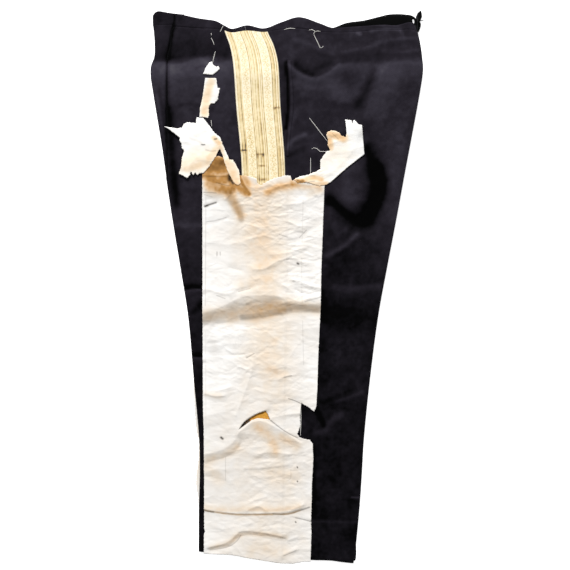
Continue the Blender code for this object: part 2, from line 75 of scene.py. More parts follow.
# How far the waist's edge is rolled: its outside down and its inside up.
ROLL_DOWN = 0.7
ROLL_UP = 0.4

# Spacing of the points in the paper's mesh.
PAPER_MESH = 1.5

# How a crease's height falls off beside its line: as a soft round fold, or as a sharp edge in paper.
ROUND = 2.0
CREASED = 1.2

# Random creases: spread of their tilt, bend as a share of their length, least share of the height, and the
# share of them that are ridges.
CRUMPLE_TILT = 0.45
CRUMPLE_BEND = 0.25
CRUMPLE_LEAST = 0.35
CRUMPLE_RIDGES = 0.55

# Sections across the folded legs. Columns: v, front side, back side, height of the stack.
SECTIONS = (
    (2, 3, 494, 17),
    (24, 4, 500, 17.8),
    (41, 6.2, 508.5, 18.6),
    (67, 7.8, 514, 20),
    (87, 7, 516.4, 21),
    (106, 0.6, 518, 21.4),
    (124, 0, 516.4, 21.4),
    (147, 3.2, 512.8, 21),
    (197, 11.3, 504.2, 19.8),
    (259, 21.6, 493, 18.2),
    (318, 29.9, 481.8, 16.8),
    (404, 43, 465.7, 15.2),
    (493, 57.7, 448.7, 14.2),
    (582, 71.7, 432.6, 13.5),
    (702, 82.4, 417, 12.7),
    (815, 92.5, 405.6, 12.2),
    (873, 93.8, 402.2, 12),
    (942, 92.3, 397.4, 11.8),
    (1032, 91.6, 388.5, 11.6),
    (1060, 91.6, 383.5, 11.6),
)

# Front edge of the upper half along the fly. Columns: v, u.
FLY = (
    (0, 48.5), (30, 45), (42, 40), (68, 38), (87, 33), (110, 31), (220, 31.6), (290, 31), (320, 30.2),
)
FLY_END = 320.0
CROTCH = 330.0

# Between these the seat's fold, which spans the whole stack, parts into one fold for each leg.
SEAT_END = 250.0
LEGS_APART = 350.0

# Waist edge of the upper half, one row per rise or dip. Columns: u, v, depth of the band that shows.
WAIST = (
    (0, 6, 25), (45, 7, 25), (94, 16.8, 19), (125, 21.6, 15), (140, 29.6, 10), (155, 36.4, 7),
    (184, 29.8, 10), (216, 35.6, 7), (250, 23.4, 14), (283, 14.2, 22), (323, 26.6, 15), (345, 34.4, 9),
    (380, 33, 10), (442, 29, 9), (466, 30, 9), (495, 24, 14), (520, 34, 12),
)

# Waist edge of the under half, and the top of its band beyond the fly. Columns: u, v.
UNDER_WAIST = (
    (6, 34), (60, 36), (155, 43), (283, 30), (341, 33.2), (372, 23), (406, 18.4), (432, 12), (456, 6.8),
    (490, 7.2), (500, 10.2), (507.5, 17),
)
UNDER_BAND_TOP = (
    (0, 22), (2.8, 14), (4, 9.8), (8, 4.5), (14, 1.4), (24, 2.3), (34, 4.3), (60, 7.4),
)
# v at which that band is sewn to the panel.
UNDER_BAND = 27.0

# Hem of the upper leg. Columns: u, v.
HEM = (
    (80, 1027), (304, 1043.5), (341, 1044.5), (364, 1047.5), (390, 1050.5),
)

# Lace on the side seam. Columns: v, front edge, back edge.
LACE_LINE = (
    (0, 134, 214), (40, 141, 222), (70, 151.4, 235), (105, 157.9, 243), (180, 163.2, 247), (312, 174, 256),
    (700, 170, 252), (1060, 164, 246),
)
# Width of the slope on which the paper comes down from the lace.
PAPER_SLOPE = 8.0

# Folds and creases of the cloth, a row for each.
# Columns: height, width toward the waist, width toward the hem, then u, v of each point of its line.
CLOTH_FOLDS = (
    (2.2, 18, 30, 10, 116, 60, 122, 104, 110, 150, 118, 260, 120),
    (1.8, 34, 30, 380, 122, 450, 112, 510, 116),
    (-1, 6, 5, 0, 96, 34, 98, 66, 96, 104, 86, 150, 94),
    (-0.4, 10, 8, 400, 94, 440, 97, 512, 92),
    (1, 4, 6, 364, 80, 395, 75, 428, 67, 505, 56),
    (0.9, 4, 6, 272, 56, 300, 65, 322, 74),
    (1.1, 7, 8, 393, 429, 369, 452, 334, 471),
    (-0.6, 8, 8, 388, 442, 364, 466, 336, 486),
    (1.4, 5, 6, 262, 260, 274, 246, 296, 238),
    (2.5, 20, 11, 261, 104, 284, 122, 305, 131, 330, 122, 356, 104),
    (-1.8, 9, 10, 275, 120, 283, 130),
    (3.4, 30, 26, 340, 145, 368, 168),
    (-3.6, 20, 24, 424, 108, 404, 150, 389, 189),
    (2, 18, 18, 450, 110, 425, 170, 405, 215),
    (-6.4, 20, 26, 408, 248, 426, 290, 430, 335, 412, 400),
    (3.6, 18, 22, 455, 240, 474, 320, 452, 400),
    (3, 26, 26, 378, 240, 398, 330),
    (-3, 20, 20, 392, 402, 373, 396, 339, 358),
    (2, 16, 16, 350, 350, 385, 375),
    (1.6, 16, 14, 330, 430, 370, 415, 430, 430),
    (-2.2, 16, 16, 52, 190, 56, 345),
    (1.3, 7, 5, 36, 538, 100, 531),
    (-1, 4, 6, 40, 546, 100, 541),
    (1.2, 7, 4, 60, 656, 100, 662),
    (-1.2, 4, 5, 60, 663, 100, 670),
    (1.7, 9, 6, 352, 742, 375, 734, 404, 722),
    (-1.4, 7, 9, 350, 755, 395, 738),
    (1.4, 8, 8, 333, 770, 350, 784, 372, 776),
    (-1.2, 8, 8, 318, 800, 345, 800),
    (0.9, 12, 12, 330, 850, 380, 868),
    (-0.9, 10, 12, 322, 905, 372, 890),
    (1.2, 14, 14, 318, 600, 370, 590, 420, 600),
    (-1.3, 12, 14, 330, 640, 390, 650),
    (1, 12, 10, 335, 690, 400, 672),
    (0.9, 8, 8, 50, 430, 92, 418),
    (-0.9, 9, 9, 52, 475, 96, 468),
    (-2, 4, 3, 258, 100, 262, 150, 262, 190, 258, 225),
    (0.8, 9, 9, 268, 200, 300, 225),
    (1, 10, 10, 268, 280, 290, 262, 312, 275),
    (-1, 8, 8, 266, 300, 300, 300),
    (0.8, 10, 8, 70, 60, 140, 66),
    (-0.7, 8, 8, 252, 62, 330, 70, 400, 62, 500, 72),
    (0.7, 9, 7, 250, 82, 330, 86, 430, 80, 505, 86),
    (0.5, 6, 3, 308, 966, 392, 966),
)

# Crease of the under half's front, beyond the fly, and the painted highlight and shade along it.
UNDER_CREASE = (34, 303, 46, 370, 52, 426)
UNDER_FRONT_PAINTED_LIGHT = (
    (0.14, 3, 3, 12, 160, 22, 215, 32, 290),
    (-0.12, 3, 6, 18, 150, 28, 240, 34, 300),
)

# Small folds at random in the cloth.
# Columns: seed, count, box of u0, v0, u1, v1, height, least and most width, least and most half length.
CLOTH_CRUMPLES = (
    (21, 260, (20, 40, 515, 340), 0.55, (4, 9), (8, 34)),
    (22, 150, (50, 330, 470, 1040), 0.4, (5, 12), (8, 34)),
)

# Painted shade and sheen on the cloth: shade in its valleys, along the fly's edge, in the pocket's mouth and
# under the seams, and sheen on the hip, on the folds' crests and on the seams' edges, from 0, nearly black,
# to 1, pale. Columns: amount, two widths and line as above.
CLOTH_PAINTED_SHADE_AND_SHEEN = (
    (0.2, 2.5, 22, 0, 100, 34, 100),
    (0.22, 3, 24, 36, 106, 60, 106, 84, 97, 104, 93),
    (0.2, 5, 20, 104, 100, 128, 106, 150, 102),
    (0.16, 26, 50, 20, 128, 60, 132, 140, 130),
    (-0.16, 3, 3, 88, 112, 100, 107, 112, 110),
    (-0.1, 3, 4, 48, 184, 70, 178, 96, 182),
    (0.16, 4, 16, 358, 107, 400, 103, 430, 108),
    (0.16, 14, 15, 430, 112, 462, 106, 490, 104, 518, 106),
    (0.08, 3, 4, 446, 104, 480, 100, 514, 103),
    (0.06, 14, 40, 440, 126, 505, 126),
    (-0.16, 22, 5, 40, 92, 80, 84, 140, 88),
    (-0.14, 24, 5, 0, 88, 34, 92),
    (-0.06, 20, 12, 370, 92, 430, 88, 512, 82),
    (-0.14, 20, 20, 6, 14, 46, 16),
    (-0.08, 30, 26, 60, 50, 140, 60),
    (0.24, 2.5, 6, 261, 104, 284, 123, 311, 133.5, 336, 124, 357, 106),
    (0.14, 8, 20, 290, 132, 311, 142, 340, 136),
    (-0.26, 10, 5, 276, 106, 288, 118, 306, 124),
    (-0.12, 8, 6, 318, 112, 340, 104),
    (-0.42, 1.6, 2.2, 46.5, 8, 46, 24, 43.5, 32, 40.5, 50, 38, 68, 34, 86, 31.5, 110, 32, 220, 31, 320),
    (-0.34, 2.6, 2.6, 42, 36, 39, 56, 36.5, 70),
    (-0.2, 4, 7, 46, 30, 40, 68, 34, 100, 34, 200),
    (-0.34, 8, 9, 38, 190, 40, 260, 46, 320, 50, 366),
    (-0.7, 2.6, 1.8, 257, 100, 261, 150, 261.5, 190, 257.5, 225),
    (-0.14, 9, 6, 252, 110, 256, 160, 256, 230),
    (0.4, 3, 3, 393, 45, 398, 47),
    (0.16, 2.5, 3.5, 417, 41, 445, 36, 468, 37.5, 474, 40),
    (0.12, 3, 3, 474, 39, 481, 52),
    (0.1, 2, 2, 417, 28.5, 440, 30.5, 470, 31.5),
    (0.12, 3, 5, 272, 57, 300, 66, 322, 74),
    (0.12, 3, 5, 364, 82, 395, 76, 428, 68),
    (0.1, 3, 5, 427, 62, 465, 56, 505, 54),
    (-0.08, 4, 4, 300, 80, 350, 92),
    (0.1, 3, 4, 440, 78, 480, 82, 510, 76),
    (0.22, 12, 14, 352, 160, 385, 166, 400, 142, 413, 124),
    (-0.32, 9, 12, 424, 116, 410, 146, 396, 180),
    (0.14, 22, 26, 455, 130, 430, 190),
    (0.2, 4, 5, 260, 262, 272, 246, 294, 237),
    (-0.14, 5, 6, 266, 274, 290, 262),
    (0.12, 5, 6, 262, 232, 270, 212, 278, 192),
    (-0.4, 14, 12, 412, 262, 424, 292, 434, 320),
    (-0.64, 15, 20, 430, 306, 436, 334, 432, 360, 420, 382, 412, 396),
    (-0.14, 50, 56, 366, 424, 374, 470),
    (-0.36, 6, 8, 400, 402, 382, 396, 362, 378, 338, 360),
    (-0.16, 6, 8, 344, 362, 334, 368),
    (-0.14, 12, 14, 340, 352, 352, 372, 384, 404),
    (0.1, 30, 30, 470, 250, 462, 380),
    (0.12, 18, 18, 372, 290, 380, 356),
    (0.26, 5, 6, 392, 426, 369, 448, 334, 467),
    (0.1, 5, 5, 338, 442, 352, 428, 370, 416),
    (0.1, 5, 5, 349, 405, 358, 438),
    (0.16, 6, 10, 352, 524, 390, 530, 436, 522),
    (-0.15, 22, 30, 352, 574, 418, 584),
    (-0.26, 8, 10, 324, 536, 330, 585),
    (-0.1, 20, 10, 324, 640, 320, 740),
    (0.16, 3, 5, 354, 742, 384, 733, 402, 723.5),
    (-0.1, 4, 8, 340, 738, 380, 722),
    (-0.3, 5, 5, 313, 754, 322, 772, 330, 788),
    (0.16, 5, 6, 334, 790, 347, 775, 364, 764),
    (0.12, 5, 6, 312, 802, 334, 798),
    (-0.22, 5, 12, 308, 832, 309, 900, 308, 956),
    (0.3, 1.4, 1.4, 382, 924.5, 399, 925),
    (-0.12, 2, 5, 366, 928, 392, 930),
    (0.14, 3, 4, 308, 970, 350, 970.5, 392, 971.5),
    (0.12, 5, 6, 36, 408, 96, 408),
    (-0.34, 7, 1.5, 56, 529, 98, 526.5),
    (0.2, 1.5, 14, 56, 532, 98, 529.5),
    (-0.12, 4, 6, 82, 572, 98, 556),
    (-0.34, 5, 1.5, 70, 656, 98, 656),
    (0.24, 1.5, 9, 70, 659, 98, 659),
)
CLOTH_BASE_TONE = 0.42
# Down the leg the cloth is painted darker. Columns: amount, v where that starts, v where it ends.
DOWNWARD_TONE = ((0.20, 350, 560), (0.08, 560, 900))

# Creases of the paper. Columns as for the folds of the cloth.
COVER_CREASES = (
    (5.6, 46, 15, 104, 573, 130, 565, 153, 554, 176, 542, 231, 539, 256, 548, 284, 560, 322, 556),
    (-1.8, 8, 12, 103, 598, 153, 592, 212, 592, 250, 580, 275, 573, 322, 575),
    (-1.6, 5, 3, 98, 649, 121, 655, 138, 652, 165, 656, 192, 650),
    (1.6, 7, 6, 163, 768, 174, 738, 191, 694, 200, 640),
    (3.2, 18, 9, 106, 842, 138, 834, 158, 820, 168, 802),
    (-1.6, 5, 8, 111, 857, 144, 849, 165, 836, 174, 818),
    (2.4, 16, 3.5, 112, 1018, 146, 1011, 160, 998, 172, 985, 214, 990, 252, 998),
    (-1.2, 3, 4.5, 114, 1024, 150, 1018, 165, 1006, 174, 994, 216, 998, 256, 1005),
    (2, 16, 1.4, 100, 946, 116, 949, 147, 954, 194, 955, 233, 953, 261, 953, 286, 945),
    (-1, 1.5, 3, 268, 962, 292, 966, 306, 970),
    (2.6, 16, 2, 169, 793, 178, 779, 192, 769, 219, 758),
    (2.2, 3, 14, 170, 799, 182, 789, 194, 780, 214, 778, 243, 793, 260, 803, 283, 820),
    (1.8, 14, 1.5, 229, 777, 248, 792, 267, 804, 279, 809),
    (-1.6, 4, 3, 105, 372, 126, 366),
    (2.6, 26, 12, 136, 330, 150, 352, 160, 378, 164, 398),
    (-2.2, 10, 10, 158, 345, 172, 380, 176, 402),
    (1.4, 3, 3, 153, 337, 152, 350, 143, 359),
    (1.4, 6, 5, 262, 370, 282, 366, 310, 356),
    (-1.2, 4, 4, 307, 376, 326, 386),
    (1.4, 5, 4, 264, 403, 291, 414),
    (-1.8, 5, 6, 326, 404, 300, 420, 279, 436),
    (1.1, 5, 5, 240, 424, 264, 430),
    (-1.2, 5, 5, 109, 406, 126, 402, 146, 395),
    (1, 9, 8, 105, 440, 150, 446, 190, 436),
    (2.6, 9, 5, 196, 492, 217, 492, 231, 482, 254, 471, 276, 470, 290, 479),
    (1.6, 8, 5, 228, 464, 262, 461, 290, 452),
    (-1.2, 5, 5, 150, 489, 172, 494),
    (-1.6, 4, 4, 168, 533, 190, 527),
    (1.3, 6, 5, 112, 530, 143, 540, 160, 534),
    (2, 5, 5, 268, 511, 291, 516, 304, 525, 324, 528),
    (-1.8, 4, 4, 276, 531, 296, 541, 322, 534),
    (1.8, 4, 4, 286, 552, 306, 545, 322, 542),
    (1.2, 5, 5, 250, 520, 270, 534),
    (1, 12, 8, 120, 625, 150, 612, 176, 618),
    (1, 6, 5, 238, 560, 262, 590),
    (-1.4, 4, 4, 183, 659, 197, 651),
    (1.2, 5, 4, 245, 700, 256, 694, 275, 692),
    (-1, 5, 5, 194, 696, 210, 701),
    (1.1, 12, 10, 236, 668, 262, 676, 290, 668),
    (2.2, 10, 4, 104, 727, 122, 733, 140, 731),
    (1.2, 4, 4, 126, 722, 150, 716),
    (-1, 5, 5, 134, 690, 140, 640),
    (1, 6, 5, 104, 770, 140, 762),
    (-1.2, 5, 4, 230, 748, 262, 744, 284, 746),
    (1.4, 6, 5, 232, 772, 256, 768, 284, 764),
    (0.9, 5, 4, 180, 868, 214, 868, 262, 861),
    (-0.5, 4, 5, 180, 875, 262, 868),
    (1.2, 8, 6, 106, 878, 126, 868, 140, 872),
    (-1, 7, 7, 106, 884, 138, 892),
    (1.4, 7, 5, 206, 842, 232, 838, 262, 842),
    (-1.2, 5, 5, 200, 852, 240, 850),
    (2.4, 9, 5, 184, 948, 196, 942, 208, 939, 219, 948),
    (1.2, 5, 4, 190, 932, 206, 926, 220, 923),
    (-1, 4, 4, 246, 888, 274, 890),
    (1.4, 4, 3, 270, 946, 290, 938),
    (1.8, 5, 4, 254, 1032, 276, 1023),
    (1.2, 4, 4, 262, 1005, 278, 999),
    (-1, 6, 6, 236, 1010, 262, 1014),
    (1.3, 6, 8, 176, 330, 200, 338, 220, 334),
    (1.6, 5, 5, 222, 352, 236, 336, 262, 330),
    (-1.2, 4, 5, 272, 326, 284, 348),
    (1.4, 5, 5, 300, 326, 314, 350),
)
FLAP_LEFT_CREASES = (
    (1, 12, 10, 56, 244, 80, 256, 104, 258, 132, 250),
    (0.9, 10, 10, 60, 300, 92, 286, 118, 272, 132, 258),
    (1, 5, 5, 134, 258, 150, 292, 164, 326),
    (0.5, 4, 4, 70, 316, 74, 296, 88, 282),
    (0.5, 5, 5, 92, 212, 112, 238),
)
FLAP_RIGHT_CREASES = (
    (1.2, 14, 9, 330, 318, 352, 302, 384, 270, 396, 232),
    (1.2, 4, 6, 340, 256, 352, 250, 368, 248),
    (0.8, 3, 4, 336, 236, 346, 240, 352, 236),
    (0.9, 5, 4, 286, 322, 304, 314, 322, 306),
    (-0.7, 3, 3, 300, 324, 318, 318, 330, 324),
)

# Ageing of the paper, and the warm painted shade in its fold bands, under its creases and in the hollow below
# its top left corner, from 0, white, over cream and tan to 1, ochre. Columns as above.
PAPER_AGE_AND_SHADE = (
    (0.34, 10, 8, 150, 350, 160, 368, 171, 390),
    (0.16, 14, 10, 112, 344, 140, 350),
    (0.05, 70, 70, 215, 380, 225, 560),
    (0.26, 6, 8, 222, 346, 240, 336, 268, 334),
    (0.3, 5, 7, 270, 328, 290, 336, 320, 334),
    (0.14, 6, 7, 303, 350, 326, 342),
    (0.14, 8, 20, 172, 318, 200, 336, 230, 334, 264, 322),
    (0.07, 34, 34, 190, 350, 205, 440),
    (0.1, 46, 46, 220, 380, 225, 700),
    (0.07, 8, 10, 205, 486, 250, 464),
    (0.06, 12, 12, 175, 520, 230, 505),
    (0.2, 15, 12, 104, 583, 130, 579, 160, 574, 200, 570, 240, 562, 275, 562, 318, 567),
    (0.1, 8, 8, 150, 590, 210, 586, 250, 572),
    (0.05, 50, 60, 240, 640, 240, 730),
    (0.1, 8, 10, 226, 680, 262, 694),
    (0.12, 6, 8, 108, 728, 132, 731),
    (0.18, 10, 12, 205, 788, 228, 806, 238, 836),
    (0.16, 8, 10, 250, 808, 278, 826),
    (0.12, 9, 8, 112, 852, 145, 844, 164, 830),
    (0.08, 14, 14, 108, 868, 130, 890),
    (0.08, 20, 20, 236, 880, 270, 886),
    (0.14, 8, 3, 104, 944, 150, 951, 190, 946, 240, 950, 282, 943),
    (0.14, 6, 5, 116, 1020, 150, 1013, 170, 992, 216, 994, 256, 1000),
    (0.08, 14, 18, 200, 1020, 250, 1028),
    (0.09, 110, 110, 200, 850, 210, 1030),
    (0.26, 1.8, 1.4, 100, 948, 147, 956.5, 194, 957, 233, 955.5, 262, 956.5, 284, 949),
)
# Ageing of the whole cover, and of the pieces torn off it.
COVER_AGE = 0.08
FLAP_AGE = 0.02

# Patches of the paper with a clear edge: the brown, aged underside that shows at the top left, painted darker
# for the shade of the flap over it, and painted shade along the curled top edge beside the lace. Columns as
# above.
COVER_STAINS_AND_SHADE = (
    (0.72, 26, 18, 116, 300, 140, 298),
    (0.8, 14, 13, 126, 290, 142, 292),
    (0.6, 15, 12, 104, 312, 124, 324, 148, 322),
    (0.46, 11, 11, 112, 330, 134, 337, 156, 338),
    (0.48, 8, 8, 152, 330, 168, 336, 182, 346),
    (0.5, 5, 4, 168, 314, 175, 332, 187, 350),
    (0.26, 8, 8, 174, 306, 184, 332),
)
FLAP_LEFT_STAINS = (
    (0.17, 24, 22, 66, 296, 112, 284),
    (0.26, 9, 8, 70, 303, 92, 296, 110, 290),
    (0.28, 9, 9, 112, 284, 130, 262),
    (0.34, 5, 6, 122, 244, 132, 254),
    (0.2, 5, 6, 134, 262, 142, 284),
    (0.34, 13, 11, 147, 292, 157, 308, 163, 334),
)
FLAP_RIGHT_STAINS = (
    (0.44, 9, 8, 340, 237, 352, 240, 366, 245),
    (0.4, 7, 7, 340, 246, 342, 262),
    (0.64, 5, 7, 270, 326, 290, 325),
    (0.4, 6, 6, 296, 322, 312, 318, 324, 322),
    (0.34, 6, 6, 288, 330, 310, 330, 334, 331),
    (0.1, 30, 30, 318, 310, 350, 280),
)
STRIP_STAINS = ((0.27, 9, 9, 104, 196, 108, 160, 116, 138),)

# Dark lines and marks on the paper: painted shade in its creases, painted shadow lines under the edges where
# the sheet lies over itself, broad painted shade in the hollows of its folds, holes through which the black
# cloth shows, and a few thin marks. Columns: darkness, half width, line as above.
PAPER_SHADE_AND_MARKS = (
    (1, 2.4, 104.5, 372.4, 110, 370.5),
    (0.85, 1.8, 105, 371.5, 115, 368.6, 125, 365.4),
    (0.55, 0.9, 102, 346, 112, 346.4, 125, 347.5),
    (0.35, 0.8, 104, 351, 118, 355),
    (1, 4.2, 150.5, 315, 151, 322),
    (1, 2.4, 154, 324, 157.5, 329.5),
    (0.4, 0.8, 102, 315, 130, 317, 150, 316),
    (0.45, 0.8, 126, 328, 140, 332, 152, 334),
    (0.34, 9, 150, 352, 160, 368, 168, 380),
    (0.36, 6, 162, 366, 170, 384, 173, 398),
    (0.18, 8, 112, 350, 140, 352),
    (0.25, 11, 98, 585, 130, 579, 158, 573),
    (0.29, 17, 158, 571, 204, 567, 234, 562),
    (0.42, 8, 176, 582, 204, 580, 237, 572, 264, 566),
    (0.34, 7, 240, 562, 275, 562, 318, 567),
    (0.12, 12, 110, 862, 140, 852, 164, 834),
    (0.1, 130, 200, 850, 208, 1040),
    (0.07, 12, 110, 604, 116, 636, 124, 652),
    (0.1, 10, 224, 790, 250, 806, 286, 832),
    (0.12, 3.5, 114, 1024, 150, 1019, 165, 1007, 174, 994),
    (0.8, 1.6, 100, 947.5, 110, 950.5, 120, 952),
    (0.34, 0.8, 120, 952, 147, 956.5, 194, 957, 233, 955),
    (0.62, 1.6, 233, 955, 262, 956.5, 284, 949, 302, 943),
    (0.55, 1.1, 276, 963, 290, 966, 306, 970.5),
    (0.55, 0.9, 228, 777.5, 248, 793.5, 267, 805.5, 279, 811),
    (0.6, 1, 262, 737, 275, 741, 287, 747),
    (0.45, 1.2, 183, 659.5, 197, 651.5),
    (0.35, 1, 168, 534, 190, 528),
    (0.4, 1, 254, 696.5, 268, 693.5),
    (0.42, 1, 114, 1024, 150, 1019, 165, 1007, 172, 996),
    (0.2, 1.2, 180, 997, 216, 1000, 256, 1007),
    (0.4, 0.9, 254, 1034.5, 276, 1025.5),
    (0.16, 0.9, 180, 871, 214, 871, 262, 864),
    (1, 2.2, 134.6, 810.2, 137.5, 813),
    (1, 1.9, 279.3, 480.3, 281, 481.7),
    (0.95, 1.3, 279, 866.5, 279.5, 867.5),
    (0.95, 1.3, 279, 893.5, 279.5, 894.5),
    (0.95, 1.3, 275.5, 970.5, 276.5, 971.5),
    (0.5, 0.9, 127, 459, 127, 466),
    (0.4, 0.8, 133, 459, 133, 465),
    (0.3, 0.8, 143, 848, 143, 892),
    (0.26, 0.8, 267, 872, 267, 894, 240, 892),
    (0.16, 0.8, 290, 362, 288, 440),
    (0.13, 0.8, 287, 470, 288, 560),
    (0.18, 0.8, 289, 590, 291, 672),
    (0.24, 0.8, 106, 340, 105, 560),
    (0.14, 0.8, 105, 610, 106, 800),
    (0.3, 0.9, 106, 402, 126, 399.5, 144, 394),
    (0.35, 0.9, 296, 418, 283, 432),
    (0.3, 0.9, 245, 426, 260, 431),
    (0.3, 0.9, 286, 400, 300, 396),
    (0.35, 0.9, 294, 553, 322, 545),
    (0.3, 0.9, 126, 541, 142, 547),
)
FLAP_LEFT_LINES = (
    (0.9, 1.2, 98, 256, 101, 257, 104, 256.4),
    (0.85, 1.5, 122.5, 246, 126.5, 245.4),
    (0.3, 1.4, 106, 266, 116, 269, 124, 268),
    (0.16, 3, 76, 244, 92, 250, 100, 256),
)
FLAP_RIGHT_LINES = (
    (0.55, 1.3, 278, 323, 284, 326, 290, 325),
    (0.4, 1, 300, 327, 312, 325),
    (0.3, 0.9, 345, 236, 356, 246),
)

# Torn edges of the paper. Columns: u, v, and how ragged the edge is that starts there.
COVER = (
    (99, 322, 0.3), (99.5, 306, 0.5), (108, 292, 0.5), (118, 280, 0.5), (125, 279, 0.6), (131, 277.5, 0.6),
    (139, 281, 0.6), (147, 290, 0.6), (158, 302, 0.6), (164, 312, 0.6), (172, 314.5, 0.7), (186, 315, 0.8),
    (201, 320, 1), (205, 331, 1), (209, 333, 1), (219.5, 327, 1), (234, 320, 0.9), (246, 317, 0.6),
    (257, 314, 0.4), (266, 315, 0.6), (269, 324, 0.8), (283.5, 320, 0.9), (298, 313, 0.9), (322, 320, 0.4),
    (331, 324, 0.2), (328, 400, 0.3), (324.5, 496, 0.3), (323, 570, 0.3), (319, 652, 0.3), (317, 721, 0.3),
    (315, 752, 0.4), (311, 762, 0.7), (299, 752, 0.7), (286.5, 746, 0.4), (284, 772, 0.7), (285, 789, 0.8),
    (279, 804, 0.7), (283, 810, 0.7), (291, 813, 0.7), (302.5, 815, 0.6), (308, 822, 0.5),
    (309.5, 850, 0.4), (307, 896, 0.4), (306, 942, 0.5), (305, 970, 0.5), (306, 990, 0.3), (304, 1046, 0.4),
    (288, 1046.5, 0.5), (272, 1049.8, 0.5), (252, 1049.6, 0.5), (225, 1045.9, 0.5), (194, 1040.8, 0.5),
    (165, 1035.2, 0.5), (150, 1033.2, 0.5), (110, 1031.3, 0.5), (102, 1030.5, 0.5), (102, 996, 0.8),
    (104.5, 989, 0.8), (102.5, 984, 0.4), (102, 818, 0.4), (100, 740, 0.3), (99.5, 554, 0.3),
)
TEAR = (
    (168, 795.5, 0.2), (178, 781.5, 0.3), (192, 771.5, 0.4), (204, 765, 0.5), (219, 760, 0.4),
    (223, 766, 0.4), (227.5, 776.5, 0.3), (216, 775, 0.4), (203, 774, 0.4), (193, 777, 0.3),
    (182, 785.5, 0.2),
)
FLAP_LEFT = (
    (27, 222, 0.3), (53, 226, 0.8), (61, 224, 0.8), (64, 217, 0.8), (72, 214, 0.9), (87, 216, 0.6),
    (89, 205, 0.7), (101.5, 206, 0.5), (114, 222, 0.5), (123, 235, 0.6), (133, 242, 0.8), (137, 254, 0.6),
    (143, 267, 0.6), (151, 285, 0.7), (157, 285, 0.7), (162, 292, 0.6), (169, 306, 0.6), (170.5, 320, 0.7),
    (171.5, 331, 0.8), (166, 333, 0.8), (162, 331, 0.8), (157, 325, 0.6), (153, 317, 0.6), (147, 306, 0.5),
    (143, 295, 0.4), (138, 277, 0.4), (133, 265, 0.5), (130.5, 267, 0.5), (126, 276, 0.6), (121, 285, 0.6),
    (111, 299, 0.6), (101.5, 310, 0.8), (94, 310, 0.9), (90, 314, 0.8), (86, 309, 0.8), (82, 314, 0.9),
    (78, 308, 0.9), (75, 315, 1), (70, 320, 0.9), (65, 316, 0.8), (55, 311, 0.7), (59, 300, 0.7),
    (61, 283.5, 0.8), (63, 273, 0.9), (66, 270, 0.9), (61, 263, 0.9), (60, 254, 0.9), (56, 248, 0.7),
    (58, 244, 0.6), (48, 236, 0.5), (35, 226.5, 0.3),
)
STRIP_LEFT = (
    (105, 131, 0.2), (126, 131, 0.5), (128, 149, 0.7), (133, 150, 0.8), (130.5, 159, 0.8), (129, 171, 0.8),
    (123, 178, 0.7), (115, 179, 0.8), (111, 187, 0.7), (112, 200, 0.6), (110, 206, 0.6), (94, 203.5, 0.4),
    (95, 187, 0.3), (99, 171, 0.3), (101.5, 156, 0.3),
)
SCRAP = (
    (101, 123.5, 0.4), (106, 112, 0.6), (111, 104, 0.8), (114, 101, 0.6), (118, 100, 0.7), (120, 106, 0.9),
    (126, 110, 0.7), (130, 108, 0.6), (132.5, 114, 0.8), (126, 120, 0.8), (120, 125, 0.4),
)
FLAP_RIGHT = (
    (333.5, 332, 0.1), (342, 327, 0.1), (374, 299, 0.1), (406, 274, 0.1), (401, 220, 0.4), (395, 219, 0.6),
    (391, 215, 0.6), (387, 210, 0.6), (384.5, 211, 0.4), (383, 218, 0.4), (381, 211, 0.5), (374, 210, 0.5),
    (369, 209, 0.5), (371, 223, 0.5), (372, 234, 0.5), (370, 243, 0.7), (362, 240, 0.7), (358, 234, 0.7),
    (351, 231, 0.6), (342, 230, 0.6), (335, 234, 0.6), (333.5, 239, 0.6), (337, 247, 0.6), (336, 256, 0.6),
    (341, 267.5, 0.8), (335, 269, 0.8), (329, 276, 0.7), (323, 285, 0.7), (322, 296, 0.7), (323, 302, 0.8),
    (316, 306.5, 0.8), (307, 310, 0.7), (296, 314, 0.7), (285, 316, 0.7), (272, 322, 0.5), (280, 329, 0.9),
    (296, 327, 0.9), (308, 331, 0.9), (322, 334, 0.6),
)

# Fine crumples of the paper. Columns as for those of the cloth.
COVER_CRUMPLES = (
    (31, 160, (99, 330, 331, 1050), 0.46, (4, 9), (10, 40)),
    (32, 620, (99, 330, 331, 1050), 0.34, (1.5, 2.8), (4, 14)),
    (33, 150, (180, 325, 330, 450), 0.52, (1.4, 3), (10, 34)),
    (34, 80, (250, 440, 325, 560), 0.5, (1.4, 3.2), (10, 34)),
    (35, 90, (100, 480, 220, 700), 0.5, (1.8, 3.6), (6, 22)),
    (36, 110, (180, 800, 300, 930), 0.36, (1.6, 3.2), (8, 30)),
    (37, 70, (100, 960, 305, 1045), 0.36, (1.8, 3.6), (8, 26)),
    (38, 110, (160, 600, 318, 760), 0.45, (1.8, 4), (6, 24)),
)
FLAP_LEFT_CRUMPLES = ((41, 40, (30, 205, 172, 335), 0.3, (2.5, 6), (5, 18)),)
FLAP_RIGHT_CRUMPLES = (
    (42, 30, (330, 205, 406, 320), 0.25, (3, 7), (6, 20)),
    (43, 34, (270, 300, 332, 335), 0.6, (1.6, 3.2), (4, 12)),
)
STRIP_CRUMPLES = ((44, 24, (94, 100, 134, 206), 0.4, (2, 4), (4, 12)),)

# Free edge of the under leg's paper, beside the leg. Columns: v, u.
UNDER_PAPER = (
    (671, 79.5), (702, 81.5), (759, 83), (799, 87), (818, 91.5), (850, 91), (884, 87), (900, 86), (927, 90),
    (954, 91), (981, 91),
)
UNDER_PAPER_WIDTH = 26.0

# Mouth of the side pocket, beside the lace. Columns: v, u.
POCKET = (
    (98, 259), (120, 260.5), (150, 263), (190, 263.5), (223, 260), (278, 257.5),
)
WELT_WIDTH = 8.5

